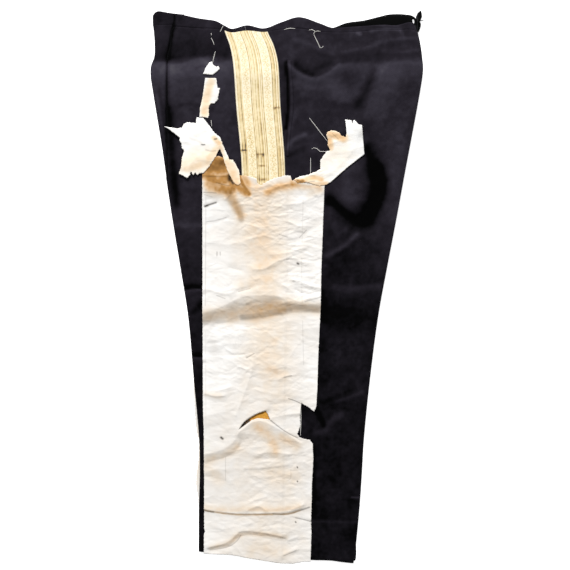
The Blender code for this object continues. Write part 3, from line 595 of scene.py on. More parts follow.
# Lower edge of the waist lining that is modelled, and the sheen painted on the lining along its edges and
# folds.
LINING_END = 78.0
LINING_PAINTED_SHEEN = (
    (0.42, 2, 5, 352, 31, 374, 24, 404, 20.5),
    (0.34, 2, 3, 462, 8.5, 486, 9, 500, 12),
    (0.5, 5, 8, 478, 30, 506, 30),
)

# Lacing tape at the back of the waist. Columns: u, v, half width, underside, thickness.
TAPE = (
    (513.4, 0, 0.8, 6.2, 1),
    (511.6, 5, 4.2, 5.8, 1.4),
    (510.4, 12, 6, 5.2, 1.8),
    (509.6, 17, 4.6, 4.6, 3),
    (509, 21.5, 3.4, 4.3, 5.2),
    (509.8, 25, 4.4, 4.4, 3),
    (510, 31, 4, 4.4, 1.6),
    (508.8, 37, 2.8, 4.4, 1.2),
    (508.4, 41.5, 0.8, 4.4, 0.8),
)

# Gap between the band and its tape, through which the ground shows. Columns: u, v, raggedness.
TAPE_HOLE = (
    (499, 15.4, 0), (501, 16.4, 0), (502, 19.4, 0), (501.4, 23.2, 0), (500, 24, 0), (498.4, 21.6, 0),
    (498, 18, 0),
)

# Basting threads left in the cloth and the paper. Each row is the line of a stitch or loose end: u, v, u, v.
THREADS = (
    (139, 31, 136, 37, 133, 43),
    (116, 45, 116.5, 50),
    (116, 54, 119, 60, 122, 68),
    (124, 80, 121.5, 90, 119, 102),
    (254, 38.5, 260, 36.5, 266, 36, 275, 36.5),
    (301, 39.5, 307, 38.5, 313, 42, 309, 47),
    (313, 42, 318, 41, 323, 42),
    (310, 47, 314, 56, 319, 66, 322, 73.5, 326, 73, 328, 69.5),
    (302, 206, 312, 219, 325, 236, 337, 251),
    (306, 264, 311, 262, 316, 263.5, 322, 269, 333, 269, 340, 268),
    (304, 281, 304.3, 295, 304, 311),
    (116, 210, 117, 222),
    (285.5, 748, 286, 776, 285, 808),
)

# Frayed end of the lacing tape, and its height.
TAPE_END = ((508, 18, 515, 19, 523, 19.8),)
TAPE_END_Z = 5.5

# Lines woven along the lace, and its ribs. Columns: share of the width, half width in mm, darkness, height.
LACE_RIBS = (
    (0.055, 0.7, 0.42, -0.20),
    (0.090, 2.6, 0.20, 0),
    (0.122, 0.8, 0.58, -0.25),
    (0.150, 0.6, 0.36, -0.15),
    (0.362, 0.8, 0.52, -0.25),
    (0.398, 0.6, 0.40, -0.15),
    (0.430, 2.4, 0.14, 0),
    (0.462, 0.7, 0.46, -0.20),
    (0.512, 2.2, 0.24, 0),
    (0.530, 0.7, 0.52, -0.20),
    (0.578, 0.7, 0.44, -0.20),
    (0.618, 0.8, 0.50, -0.25),
    (0.845, 0.8, 0.56, -0.25),
    (0.885, 2.6, 0.24, 0),
    (0.912, 0.7, 0.50, -0.20),
    (0.958, 0.8, 0.44, -0.20),
)
# The two bands of scrolls: their middles as shares of the width, and their pitch.
LACE_BANDS = (0.256, 0.730)
LACE_PITCH = 17.0
# Darkness of the most tarnished thread. A darker value is amber, the colour that lies in the paper's tear.
TARNISHED = 0.80

# Stains on the lace. Columns: u, v, half width, half length, darkness.
LACE_STAINS = (
    (240, 186.5, 7, 1.6, 0.36),
    (236, 189, 3, 1.6, 0.24),
    (177, 266.5, 6.2, 1.6, 0.62),
    (175, 262, 1.6, 8, 0.34),
    (181, 262, 1.6, 10, 0.34),
    (209, 274.5, 7.5, 2, 0.34),
    (204, 278, 1.8, 6, 0.34),
    (213.5, 277, 2.4, 4, 0.34),
    (190, 240, 3, 3, 0.16),
    (210.5, 296, 6.8, 1.6, 0.34),
    (214, 322, 7.6, 2.4, 0.46),
    (207, 318, 1.2, 12, 0.36),
)

# Colours of the materials, as pairs of position and linear colour.
WOOL = (
    (0.0, (0.0001, 0.0001, 0.0001)),
    (0.08, (0.0008, 0.0007, 0.0009)),
    (0.20, (0.0050, 0.0043, 0.0060)),
    (0.42, (0.0160, 0.0136, 0.0190)),
    (0.70, (0.0400, 0.0360, 0.0490)),
    (1.0, (0.0900, 0.0850, 0.1000)),
)
BLACK_LINING = (
    (0.0, (0.0004, 0.0004, 0.0005)),
    (0.5, (0.0015, 0.0015, 0.0017)),
    (1.0, (0.040, 0.040, 0.044)),
)
GOLD = (
    (0.0, (0.86, 0.775, 0.60)),
    (0.20, (0.755, 0.635, 0.375)),
    (0.42, (0.58, 0.42, 0.17)),
    (0.56, (0.45, 0.30, 0.11)),
    (0.70, (0.14, 0.08, 0.02)),
    (0.80, (0.012, 0.008, 0.004)),
    (0.92, (0.42, 0.175, 0.004)),
    (1.0, (0.57, 0.26, 0.007)),
)
# The paper's ramp gives both its ageing and the warm painted shade of its folds.
AGED = (
    (0.0, (0.90, 0.895, 0.88)),
    (0.06, (0.85, 0.832, 0.807)),
    (0.12, (0.785, 0.752, 0.71)),
    (0.24, (0.755, 0.665, 0.56)),
    (0.44, (0.72, 0.50, 0.30)),
    (0.68, (0.43, 0.215, 0.06)),
    (1.0, (0.15, 0.065, 0.012)),
)
TORN_AGED = (
    (0.0, (0.95, 0.945, 0.93)),
    (0.10, (0.94, 0.89, 0.81)),
    (0.24, (0.90, 0.76, 0.58)),
    (0.44, (0.82, 0.56, 0.32)),
    (0.68, (0.50, 0.26, 0.08)),
    (1.0, (0.15, 0.065, 0.012)),
)
WHITE_THREAD = ((0.0, (0.62, 0.60, 0.56)), (1.0, (0.80, 0.78, 0.74)))
# Colour of the painted shade and the dark marks on the paper.
SHADE_AND_MARK_COLOUR = (0.022, 0.013, 0.006, 1.0)

# Places of the camera and the lamp, and the way that the key light shines, in metres.
CAMERA_AT = (-0.0033, 0.0034, 2.565)
FILL_AT = (0.3, -0.6, 3.4)
KEY_DIRECTION = (0.15, -1.0, -0.88)


def ramp(x, low, high):
    """0 below low, 1 above high and a smooth step between."""
    t = np.clip((x - low) / (high - low), 0.0, 1.0)
    return t * t * (3.0 - 2.0 * t)


def curve(table, column):
    """A column of a table as a smooth function of its first column, for arrays."""
    x, y = np.array(table, dtype=float)[:, [0, column]].T
    slope = np.diff(y) / np.diff(x)
    lean = np.concatenate([slope[:1], (y[2:] - y[:-2]) / (x[2:] - x[:-2]), slope[-1:]])
    at = np.linspace(x[0], x[-1], 1500)
    k = np.clip(np.searchsorted(x, at) - 1, 0, len(slope) - 1)
    step = x[k + 1] - x[k]
    t = (at - x[k]) / step
    bend = (lean[k] - slope[k]) * t * (1.0 - t) ** 2 - (lean[k + 1] - slope[k]) * t * t * (1.0 - t)
    values = y[k] + (slope[k] * t + bend) * step
    return lambda place: np.interp(place, at, values)


front_side = curve(SECTIONS, 1)
back_side = curve(SECTIONS, 2)
stack = curve(SECTIONS, 3)
fly = curve(FLY, 1)
waist = curve(WAIST, 1)
band_depth = curve(WAIST, 2)
under_waist = curve(UNDER_WAIST, 1)
under_band_top = curve(UNDER_BAND_TOP, 1)
hem = curve(HEM, 1)
lace_front = curve(LACE_LINE, 1)
lace_back = curve(LACE_LINE, 2)
under_paper = curve(UNDER_PAPER, 1)
pocket = curve(POCKET, 1)


def upper_front(v):
    """Front edge of the upper half: the fly first, then the leg's own side."""
    below = ramp(v, FLY_END - 8.0, FLY_END + 8.0)
    return fly(v) * (1.0 - below) + front_side(v) * below


def seam(v):
    """Side seam, under the middle of the lace."""
    return (lace_front(v) + lace_back(v)) / 2


def band_line(u):
    """Lower edge of the waistband where it shows."""
    return waist(u) + band_depth(u)


def level(height):
    """The same height or line everywhere."""
    return lambda x: height + 0.0 * x


def path(numbers, rounds=2):
    """Line through u, v, u, v and so on, with its corners cut off and its ends kept."""
    line = np.array(numbers, dtype=float).reshape(-1, 2)
    for _ in range(rounds if len(line) > 2 else 0):
        near = 0.75 * line[:-1] + 0.25 * line[1:]
        far = 0.25 * line[:-1] + 0.75 * line[1:]
        line = np.concatenate([line[:1], np.stack([near, far], 1).reshape(-1, 2), line[-1:]])
    return line


def stepped(line, step, least, rounding=0.0):
    """u and v at even steps along a line, at least so many of them."""
    far = np.concatenate([[0.0], np.cumsum(np.hypot(*np.diff(line, axis=0).T))])
    at = np.linspace(0.0, far[-1], max(least, int(far[-1] / step + rounding)))
    return np.interp(at, far, line[:, 0]), np.interp(at, far, line[:, 1])


def relief(u, v, rows, sharp=2.0, rounds=2):
    """Sum of ridges and troughs at each point. A higher sharp rounds their tops, a lower one creases them."""
    total = np.zeros_like(u)
    for amount, before, after, *numbers in rows:
        line = path(numbers, rounds)
        reach = max(before, after) * 9.0 ** (1.0 / sharp)
        low, high = line.min(axis=0) - reach, line.max(axis=0) + reach
        close = (u > low[0]) & (u < high[0]) & (v > low[1]) & (v < high[1])
        cu, cv = u[close], v[close]
        nearest = np.full_like(cu, 1e9)
        lean = np.zeros_like(cu)
        for (u0, v0), (u1, v1) in zip(line, line[1:]):
            du, dv = u1 - u0, v1 - v0
            t = np.clip(((cu - u0) * du + (cv - v0) * dv) / (du * du + dv * dv), 0.0, 1.0)
            au, av = cu - u0 - t * du, cv - v0 - t * dv
            away = np.hypot(au, av)
            turn = (du * av - dv * au) / (math.hypot(du, dv) * np.maximum(away, 1e-6))
            closer = away < nearest
            lean = np.where(closer, turn, lean)
            nearest = np.where(closer, away, nearest)
        width = (before + after) / 2 + lean * (after - before) / 2
        total[close] += amount * np.exp(-((nearest / width) ** sharp))
    return total


def strongest(u, v, rows, sharp):
    """Greatest of the marks at each point. sharp gives the falloff of a row."""
    most = np.zeros_like(u)
    for row in rows:
        most = np.maximum(most, relief(u, v, (row,), sharp(row)))
    return most


def crumple(u, v, seed, count, box, height, widths, halves, sharp=CREASED):
    """Small random creases within a box of u0, v0, u1, v1, between two widths and two half lengths."""
    rng = np.random.default_rng(seed)
    shape = u.shape
    u, v = u.ravel(), v.ravel()
    order = np.argsort(v, kind="stable")
    sorted_v = v[order]
    total = np.zeros_like(u)
    for _ in range(count):
        cu, cv = rng.uniform(box[0], box[2]), rng.uniform(box[1], box[3])
        angle = rng.normal(0.0, CRUMPLE_TILT)
        half = rng.uniform(*halves)
        bend = rng.uniform(-CRUMPLE_BEND, CRUMPLE_BEND) * half
        du, dv = half * math.cos(angle), half * math.sin(angle)
        amount = height * rng.uniform(CRUMPLE_LEAST, 1.0) * (1.0 if rng.random() < CRUMPLE_RIDGES else -1.0)
        before, after = rng.uniform(*widths), rng.uniform(*widths)
        middle = (cu - bend * math.sin(angle), cv + bend * math.cos(angle))
        row = (amount, before, after, cu - du, cv - dv, *middle, cu + du, cv + dv)
        reach = half + 4.0 * widths[1]
        near = order[np.searchsorted(sorted_v, cv - reach):np.searchsorted(sorted_v, cv + reach)]
        near = near[np.abs(u[near] - cu) < reach]
        total[near] += relief(u[near], v[near], (row,), sharp, 0)
    return total.reshape(shape)


def mottle(u, v, cell, seed):
    """Smooth random patches from -1 to 1, about as large as the cell."""
    rng = np.random.default_rng(seed)
    length, width, margin = 1200, 700, 60.0
    grid = rng.uniform(-1.0, 1.0, (int(length / cell) + 3, int(width / cell) + 3))
    a, b = (v + margin) / cell, (u + margin) / cell
    i, j = np.floor(a).astype(int), np.floor(b).astype(int)
    s, t = ramp(a - i, 0.0, 1.0), ramp(b - j, 0.0, 1.0)
    upper = grid[i, j] * (1.0 - t) + grid[i, j + 1] * t
    lower = grid[i + 1, j] * (1.0 - t) + grid[i + 1, j + 1] * t
    return upper * (1.0 - s) + lower * s


def mottled(u, v, *layers):
    """Sum of patches. Each layer gives their strength, their size and their seed."""
    return sum(strength * mottle(u, v, cell, seed) for strength, cell, seed in layers)


def cloth_relief(u, v):
    """Folds of the cloth, faded at the sides. The small ones are pressed flat under the lace."""
    from_side = np.minimum(u - upper_front(v), back_side(v) - u)
    small = sum(crumple(u, v, *row, ROUND) for row in CLOTH_CRUMPLES)
    small *= ramp(np.maximum(lace_front(v) - u, u - lace_back(v)), 0.0, LACE_FADE)
    folds = relief(u, v, CLOTH_FOLDS) * ramp(from_side, 0.0, FOLDS_FADE)
    return folds + small * ramp(from_side, 0.0, SMALL_FADE)


def cloth_top(u, v):
    return stack(v) + cloth_relief(u, v)


def over_lace(u, v):
    """Height that the lace gives to what lies over it."""
    rise = ramp(u, lace_front(v) - PAPER_SLOPE, lace_front(v))
    return (LACE + GAP) * rise * (1.0 - ramp(u, lace_back(v), lace_back(v) + PAPER_SLOPE))


def paper_ground(u, v):
    """Height on which paper lies."""
    return cloth_top(u, v) + over_lace(u, v) + GAP


def panel_grid(left, right, top, bottom, across, down):
    """u and v over a panel, at shares of the way between two lines in v and between two lines in u.

    Each line bends with the other coordinate, so both are found in turns, from a first guess of v.
    """
    c, r = across[None, :], down[:, None]
    v = 30.0 + 1000.0 * r + 0.0 * c
    for _ in range(8):
        u = left(v) + (right(v) - left(v)) * c
        v = top(u) + (bottom(u) - top(u)) * r
    return u, v


def even(count):
    """Even shares from 0 to 1."""
    return np.linspace(0.0, 1.0, count)


def place(u, v, z):
    """Points in metres."""
    return np.stack([(u - WIDTH / 2) * MM, (LENGTH / 2 - v) * MM, z * MM], axis=-1)


def put(name, data):
    """Object with the data, in the scene."""
    made = bpy.data.objects.new(name, data)
    bpy.context.scene.collection.objects.link(made)
    return made


def new_mesh(name, points, triangles, paint, material):
    """Mesh object with its painted values, smooth all over."""
    mesh = bpy.data.meshes.new(name)
    mesh.vertices.add(len(points))
    mesh.vertices.foreach_set("co", np.asarray(points, dtype=np.float32).ravel())
    triangles = np.asarray(triangles, dtype=np.int32)
    mesh.loops.add(triangles.size)
    mesh.polygons.add(len(triangles))
    mesh.polygons.foreach_set("loop_start", np.arange(0, triangles.size, 3, dtype=np.int32))
    mesh.loops.foreach_set("vertex_index", triangles.ravel())
    mesh.polygons.foreach_set("use_smooth", np.ones(len(triangles), dtype=bool))
    mesh.update(calc_edges=True)
    for layer, values in paint.items():
        made = mesh.attributes.new(layer, "FLOAT", "POINT")
        made.data.foreach_set("value", np.asarray(values, dtype=np.float32).ravel())
    mesh.validate()
    mesh.materials.append(material)
    return put(name, mesh)


def walls(rim, far):
    """Triangles between the rim of the outer side and the same points of the inner side, far numbers on."""
    here, there = rim[:-1], rim[1:]
    return [np.stack([here, there, there + far], 1), np.stack([here, there + far, here + far], 1)]


def shell(name, outer, inner, paint, material, tube=False):
    """Closed sheet between two grids of u, v, z. paint holds a grid of values for each painted layer.

    The rows of a tube come back to where they start.
    """
    rows, columns = outer[0].shape
    points = np.concatenate([place(*outer).reshape(-1, 3), place(*inner).reshape(-1, 3)])
    index = np.arange(rows * columns).reshape(rows, columns)
    far = rows * columns
    if tube:
        index = np.concatenate([index, index[:, :1]], axis=1)
        rims = [index[0], index[-1, ::-1]]
    else:
        rims = [np.concatenate([index[0, :], index[1:, -1], index[-1, -2::-1], index[-2::-1, 0]])]
    a, b = index[:-1, :-1].ravel(), index[:-1, 1:].ravel()
    d, e = index[1:, :-1].ravel(), index[1:, 1:].ravel()
    faces = [np.stack([a, d, b], 1), np.stack([b, d, e], 1)]
    faces += [np.stack([a, b, d], 1) + far, np.stack([b, e, d], 1) + far]
    for rim in rims:
        faces += walls(rim, far)
    both = {key: np.tile(value.ravel(), 2) for key, value in paint.items()}
    return new_mesh(name, points, np.concatenate(faces), both, material)


def torn(corners, seed, step=1.6):
    """Outline through the corners in short steps, each moved in or out at random where the edge is ragged."""
    rng = np.random.default_rng(seed)
    points = []
    for (u0, v0, ragged), (u1, v1, _) in zip(corners, corners[1:] + corners[:1]):
        length = math.hypot(u1 - u0, v1 - v0)
        count = max(1, round(length / step))
        for k in range(count):
            t = k / count
            push = rng.normal(0.0, ragged * 0.55) if k else 0.0
            push = min(max(push, -1.2 * ragged), 1.2 * ragged)
            u = u0 + (u1 - u0) * t - (v1 - v0) / length * push
            v = v0 + (v1 - v0) * t + (u1 - u0) / length * push
            points.append((u, v))
    return np.array(points)


def inside(outline, u, v):
    """Which points lie within an outline."""
    odd = np.zeros(u.shape, dtype=bool)
    for (u0, v0), (u1, v1) in zip(outline, np.roll(outline, -1, axis=0)):
        if v0 != v1:
            crosses = (v0 > v) != (v1 > v)
            odd ^= crosses & (u < u0 + (v - v0) * (u1 - u0) / (v1 - v0))
    return odd


def within(rings, spots):
    """Which spots lie inside the first ring and outside the others."""
    keep = inside(rings[0], *spots.T)
    for hole in rings[1:]:
        keep &= ~inside(hole, *spots.T)
    return keep


def apart(spots, others, least):
    """Which spots lie farther than the least distance from all the others."""
    tree = KDTree(len(others))
    for k, (u, v) in enumerate(others.tolist()):
        tree.insert((u, v, 0.0), k)
    tree.balance()
    return np.array([tree.find((u, v, 0.0))[2] > least for u, v in spots.tolist()])


def beside(row):
    """Points along a thin line and at both sides of it, so that the mesh can hold its colour."""
    half = row[1]
    u, v = stepped(path(row[3:]), 1.1, 2, 0.5)
    du, dv = np.gradient(u), np.gradient(v)
    long = np.hypot(du, dv)
    offsets = (-1.6 * half, 0.0, 1.6 * half)
    return np.concatenate([np.stack([u - dv / long * k, v + du / long * k], 1) for k in offsets])


def scattered(rings, spacing, marks=()):
    """Points inside the first ring and outside the others, closer together along the marks."""
    low, high = rings[0].min(axis=0), rings[0].max(axis=0)
    across = np.arange(low[0], high[0], spacing)
    down = np.arange(low[1], high[1], spacing * 0.87)
    u, v = np.meshgrid(across, down)
    u = u + np.where(np.arange(len(down)) % 2, spacing / 2, 0.0)[:, None]
    spots = np.stack([u.ravel(), v.ravel()], 1)
    thin = [beside(row) for row in marks if row[1] < 3.0]
    if thin:
        thin = np.concatenate(thin)
        spots = np.concatenate([spots[apart(spots, thin, 1.2)], thin])
    spots = spots[apart(spots, np.concatenate(rings), 1.0)]
    return spots[within(rings, spots)]


def cells_of(rings, spots):
    """Triangles over the area inside the rings, through the spots, with their upper side up."""
    flat = [Vector(corner) for corner in np.concatenate([*rings, spots]).tolist()]
    edges = []
    start = 0
    for ring in rings:
        edges += [(start + k, start + (k + 1) % len(ring)) for k in range(len(ring))]
        start += len(ring)
    made, _, cells, _, _, _ = delaunay_2d_cdt(flat, edges, [], 0, 0.001, True)
    made = np.array([tuple(corner) for corner in made])
    cells = np.array([tuple(cell) for cell in cells])
    cells = cells[within(rings, made[cells].mean(axis=1))]
    a, b, c = (made[cells[:, k]] for k in range(3))
    turn = (b[:, 0] - a[:, 0]) * (c[:, 1] - a[:, 1]) - (c[:, 0] - a[:, 0]) * (b[:, 1] - a[:, 1])
    cells = np.where((turn > 0)[:, None], cells[:, ::-1], cells)[np.abs(turn) > 1e-7]
    used, cells = np.unique(cells, return_inverse=True)
    return made[used], cells.reshape(-1, 3)


def lowest_near(u, v, z, at, cell=2.5):
    """Least z among the points around each place."""
    margin = 100.0
    i, j = ((v + margin) / cell).astype(int), ((u + margin) / cell).astype(int)
    least = np.full((i.max() + 3, j.max() + 3), 1e9)
    np.minimum.at(least, (i, j), z)
    wide = least.copy()
    for di in (-1, 0, 1):
        for dj in (-1, 0, 1):
            wide = np.minimum(wide, np.roll(least, (di, dj), axis=(0, 1)))
    i = np.clip(((at[:, 1] + margin) / cell).astype(int), 0, wide.shape[0] - 1)
    j = np.clip(((at[:, 0] + margin) / cell).astype(int), 0, wide.shape[1] - 1)
    return wide[i, j]


def torn_sheet(name, rings, spacing, top, thickness, paint, material, marks=()):
    """Sheet cut to the first ring, with the others as holes. top and paint are functions of u and v.

    The upper side carries every crease. The under side is a coarser one just below it.
    """
    upper, upper_cells = cells_of(rings, scattered(rings, spacing, marks))
    under, under_cells = cells_of(rings, scattered(rings, max(4.0, spacing)))
    u, v = upper.T
    z = top(u, v)
    sides = np.concatenate([upper_cells[:, [0, 1]], upper_cells[:, [1, 2]], upper_cells[:, [2, 0]]])
    known = {(p, q) for p, q in sides.tolist()}
    rim = np.array([(p, q) for p, q in sides.tolist() if (q, p) not in known])
    below = lowest_near(u, v, z, under) - thickness
    place_of = {(round(a, 3), round(b, 3)): k for k, (a, b) in enumerate(under.tolist())}
    beneath = {k: place_of[round(u[k], 3), round(v[k], 3)] for k in np.unique(rim).tolist()}
    for k, j in beneath.items():
        below[j] = z[k] - thickness
    points = np.concatenate([place(u, v, z), place(*under.T, below)])
    far = len(u)
    p, q = rim.T
    lower_p, lower_q = (np.array([beneath[k] for k in ends.tolist()]) + far for ends in (p, q))
    faces = [upper_cells, under_cells[:, ::-1] + far]
    faces += [np.stack([q, p, lower_p], 1), np.stack([q, lower_p, lower_q], 1)]
    both = {key: np.concatenate([value(u, v), value(*under.T)]) for key, value in paint.items()}
    return new_mesh(name, points, np.concatenate(faces), both, material)


def rod_faces(count, sides):
    """Triangles round a rod of so many rings of points, with both ends closed."""
    faces = []
    for ring in range(count - 1):
        for c in range(sides):
            p, q = ring * sides + c, ring * sides + (c + 1) % sides
            faces += [(p, q, p + sides), (q, q + sides, p + sides)]
    end = (count - 1) * sides
    for c in range(1, sides - 1):
        faces += [(0, c + 1, c), (end, end + c, end + c + 1)]
    return faces


def add(nodes, kind, **values):
    """Shader node with the values of its inputs."""
    made = nodes.new("ShaderNode" + kind)
    for socket, value in values.items():
        made.inputs[socket.replace("_", " ")].default_value = value
    return made


def material_of(name, colours, layer, roughness, speckle, scale, bump, distance, **sockets):
    """Material whose colour follows a painted layer through a ramp, broken up by noise, with a bump.

    colours holds pairs of position and colour, speckle says how far the noise moves the ramp, scale is the
    noise's cells in a metre, and bump and distance are the strength and depth of the relief.
    """
    material = bpy.data.materials.new(name)
    material.use_nodes = True
    nodes, links = material.node_tree.nodes, material.node_tree.links
    shader = nodes["Principled BSDF"]
    for socket, value in sockets.items():
        shader.inputs[socket.replace("_", " ")].default_value = value
    shader.inputs["Roughness"].default_value = roughness
    where = nodes.new("ShaderNodeTexCoord").outputs["Object"]
    painted = nodes.new("ShaderNodeAttribute")
    painted.attribute_name = layer
    noise = add(nodes, "TexNoise", Scale=scale, Detail=6.0, Roughness=0.65)
    links.new(where, noise.inputs["Vector"])
    shift = nodes.new("ShaderNodeMath")
    shift.operation = "SUBTRACT"
    shift.inputs[1].default_value = speckle / 2
    links.new(painted.outputs["Fac"], shift.inputs[0])
    spread = nodes.new("ShaderNodeMath")
    spread.operation = "MULTIPLY_ADD"
    spread.inputs[1].default_value = speckle
    links.new(noise.outputs["Fac"], spread.inputs[0])
    links.new(shift.outputs[0], spread.inputs[2])
    tint = nodes.new("ShaderNodeValToRGB")
    while len(tint.color_ramp.elements) < len(colours):
        tint.color_ramp.elements.new(0.5)
    for element, (position, rgb) in zip(tint.color_ramp.elements, colours):
        element.position = position
        element.color = (*rgb, 1.0)
    links.new(spread.outputs[0], tint.inputs["Fac"])
    links.new(tint.outputs["Color"], shader.inputs["Base Color"])
    grain = add(nodes, "Bump", Strength=bump, Distance=distance)
    links.new(grain.outputs["Normal"], shader.inputs["Normal"])
    return material, nodes, links, where, grain


def raise_grain(nodes, links, where, grain, *textures):
    """Lets one texture, or the sum of two, drive the bump. Each comes with the name of its output."""
    heights = [texture.outputs[output] for texture, output in textures]
    for texture, _ in textures:
        links.new(where, texture.inputs["Vector"])
    if len(heights) == 2:
        both = nodes.new("ShaderNodeMath")
        both.operation = "ADD"
        for k, height in enumerate(heights):
            links.new(height, both.inputs[k])
        heights = [both.outputs[0]]
    links.new(heights[0], grain.inputs["Height"])


def wool(name):
    """Fine twill with a short nap."""
    material, nodes, links, where, grain = material_of(
        name, WOOL, "tone", roughness=0.82, speckle=0.24, scale=95.0, bump=0.35, distance=0.0006,
        Specular_IOR_Level=0.03, Sheen_Weight=0.02, Sheen_Roughness=0.5, Sheen_Tint=(0.6, 0.55, 0.7, 1.0),
    )
    twill = add(nodes, "TexWave", Scale=190.0, Distortion=2.0, Detail=2.0, Detail_Scale=2.0)
    twill.bands_direction = "DIAGONAL"
    nap = add(nodes, "TexNoise", Scale=420.0, Detail=4.0)
    raise_grain(nodes, links, where, grain, (twill, "Fac"), (nap, "Fac"))
    return material


def lining(name):
    material, nodes, links, where, grain = material_of(
        name, BLACK_LINING, "tone", roughness=0.6, speckle=0.16, scale=90.0, bump=0.3, distance=0.0005,
        Specular_IOR_Level=0.05,
    )
    raise_grain(nodes, links, where, grain, (add(nodes, "TexNoise", Scale=300.0), "Fac"))
    return material


def gold(name):
    """Gilt thread woven across a stripe, tarnished in its lines."""
    material, nodes, links, where, grain = material_of(
        name, GOLD, "dark_amount", roughness=0.46, speckle=0.28, scale=260.0, bump=0.5, distance=0.0005,
        Metallic=0.12, Specular_IOR_Level=0.45,
    )
    picks = add(nodes, "TexWave", Scale=210.0, Distortion=1.2, Detail=2.0)
    picks.bands_direction = "Y"
    raise_grain(nodes, links, where, grain, (picks, "Fac"))
    return material


def paper(name, aged):
    """Thin paper, cockled and crushed with the years. Its tint carries its ageing and the warm painted shade
    of its folds, and over that lie the painted shade of its creases, its holes and its dark marks.
    """
    material, nodes, links, where, grain = material_of(
        name, aged, "age_and_shade", roughness=0.75, speckle=0.10, scale=42.0, bump=0.55, distance=0.0012,
        Specular_IOR_Level=0.2,
    )
    lined = nodes.new("ShaderNodeAttribute")
    lined.attribute_name = "dark_amount"
    mix = nodes.new("ShaderNodeMix")
    mix.data_type = "RGBA"
    mix.inputs["B"].default_value = SHADE_AND_MARK_COLOUR
    links.new(lined.outputs["Fac"], mix.inputs["Factor"])
    links.new(nodes["Color Ramp"].outputs["Color"], mix.inputs["A"])
    links.new(mix.outputs["Result"], nodes["Principled BSDF"].inputs["Base Color"])
    stretch = add(nodes, "Mapping", Scale=(0.7, 1.5, 1.0))
    links.new(where, stretch.inputs["Vector"])
    crush = add(nodes, "TexVoronoi", Scale=46.0)
    crush.feature = "DISTANCE_TO_EDGE"
    cockle = add(nodes, "TexNoise", Scale=60.0, Detail=5.0)
    raise_grain(nodes, links, stretch.outputs["Vector"], grain, (crush, "Distance"), (cockle, "Fac"))
    return material


def cotton(name):
    material, nodes, links, where, grain = material_of(
        name, WHITE_THREAD, "tone", roughness=0.8, speckle=0.5, scale=300.0, bump=0.4, distance=0.0003,
    )
    raise_grain(nodes, links, where, grain, (add(nodes, "TexNoise", Scale=900.0), "Fac"))
    return material


def tone(u, v):
    """Tone of the outside of the cloth: random patches of its nap, darker down the leg, painted shade in its
    valleys and painted sheen on its folds.
    """
    patches = mottled(u, v, (0.045, 34.0, 1), (0.045, 13.0, 2), (0.035, 5.0, 3))
    darker = sum(amount * ramp(v, start, end) for amount, start, end in DOWNWARD_TONE)
    return np.clip(CLOTH_BASE_TONE - darker + relief(u, v, CLOTH_PAINTED_SHADE_AND_SHEEN) + patches, 0.0, 0.98)


def finish_piece(piece, slot, *nodes):
    """Rides on the only body and stands for its solids."""
    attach(piece, "root")
    if nodes:
        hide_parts(*nodes)
    return piece


def beside_each_other(*grids):
    """One grid of u, v, z from several, from left to right."""
    return [np.concatenate([grid[k] for grid in grids], axis=1) for k in range(3)]


def upper_panel(name, at_front, top, bottom, columns, rows, turns, material, roll=False):
    """Upper half's cloth of one panel: round the fold at its side and over the top to the seam."""
    if at_front:
        left, right = lambda v: upper_front(v) + FOLD_REACH, lambda v: seam(v) - SEAM / 2
    else:
        left, right = lambda v: seam(v) + SEAM / 2, lambda v: back_side(v) - FOLD_REACH
    u, v = panel_grid(left, right, top, bottom, even(columns), even(rows))
    z = cloth_top(u, v)
    line = v[:, 0 if at_front else -1]
    # 0 where the fold spans the whole stack, at the seat, and 1 where it is the upper leg's own.
    parted = np.ones_like(line) if at_front else ramp(line, SEAT_END, LEGS_APART)
    tall = stack(line)
    centre = tall * (0.5 + 0.25 * parted)
    semi = tall * (0.5 - 0.25 * parted)
    edge = upper_front(line) if at_front else back_side(line)
    lowest = -2.0 - 70.0 * parted[:, None]
    a = np.radians(lowest + (90.0 - lowest) * even(turns)[None, :-1])
    into = 1 if at_front else -1
    sides = []
    for inset in (0.0, CLOTH):
        fu = edge[:, None] + into * (FOLD_REACH - (FOLD_REACH - inset) * np.cos(a))
        fv = top(fu) + (bottom(fu) - top(fu)) * even(rows)[:, None]
        fz = centre[:, None] + (semi[:, None] - inset) * np.sin(a)
        fz = fz + cloth_relief(fu, fv) * np.maximum(0.0, np.sin(a))
        flat = (u, v, z - inset)
        if at_front:
            sides.append(beside_each_other((fu, fv, fz), flat))
        else:
            sides.append(beside_each_other(flat, (fu[:, ::-1], fv[:, ::-1], fz[:, ::-1])))
    outer, inner = sides
    if roll:
        outer[2][0] -= ROLL_DOWN
        inner[2][0] += ROLL_UP
    return shell(name, outer, inner, {"tone": tone(outer[0], outer[1])}, material)


def build_upper_half(cloth):
    below_band = lambda u: band_line(u) + SEAM / 2
    above_seam = lambda u: band_line(u) - SEAM / 2
    front = upper_panel("front_panel_cloth", True, below_band, hem, 50, 330, 12, cloth)
    finish_piece(front, "wool_cloth", "front_panel")
    back = upper_panel("back_panel_cloth", False, below_band, hem, 84, 330, 12, cloth)
    finish_piece(back, "wool_cloth", "back_panel")
    front_band = upper_panel("waistband_front_cloth", True, waist, above_seam, 50, 9, 8, cloth, roll=True)
    finish_piece(front_band, "wool_cloth", "waistband_front")
    back_band = upper_panel("waistband_back_cloth", False, waist, above_seam, 100, 9, 8, cloth, roll=True)
    finish_piece(back_band, "wool_cloth", "waistband_back")


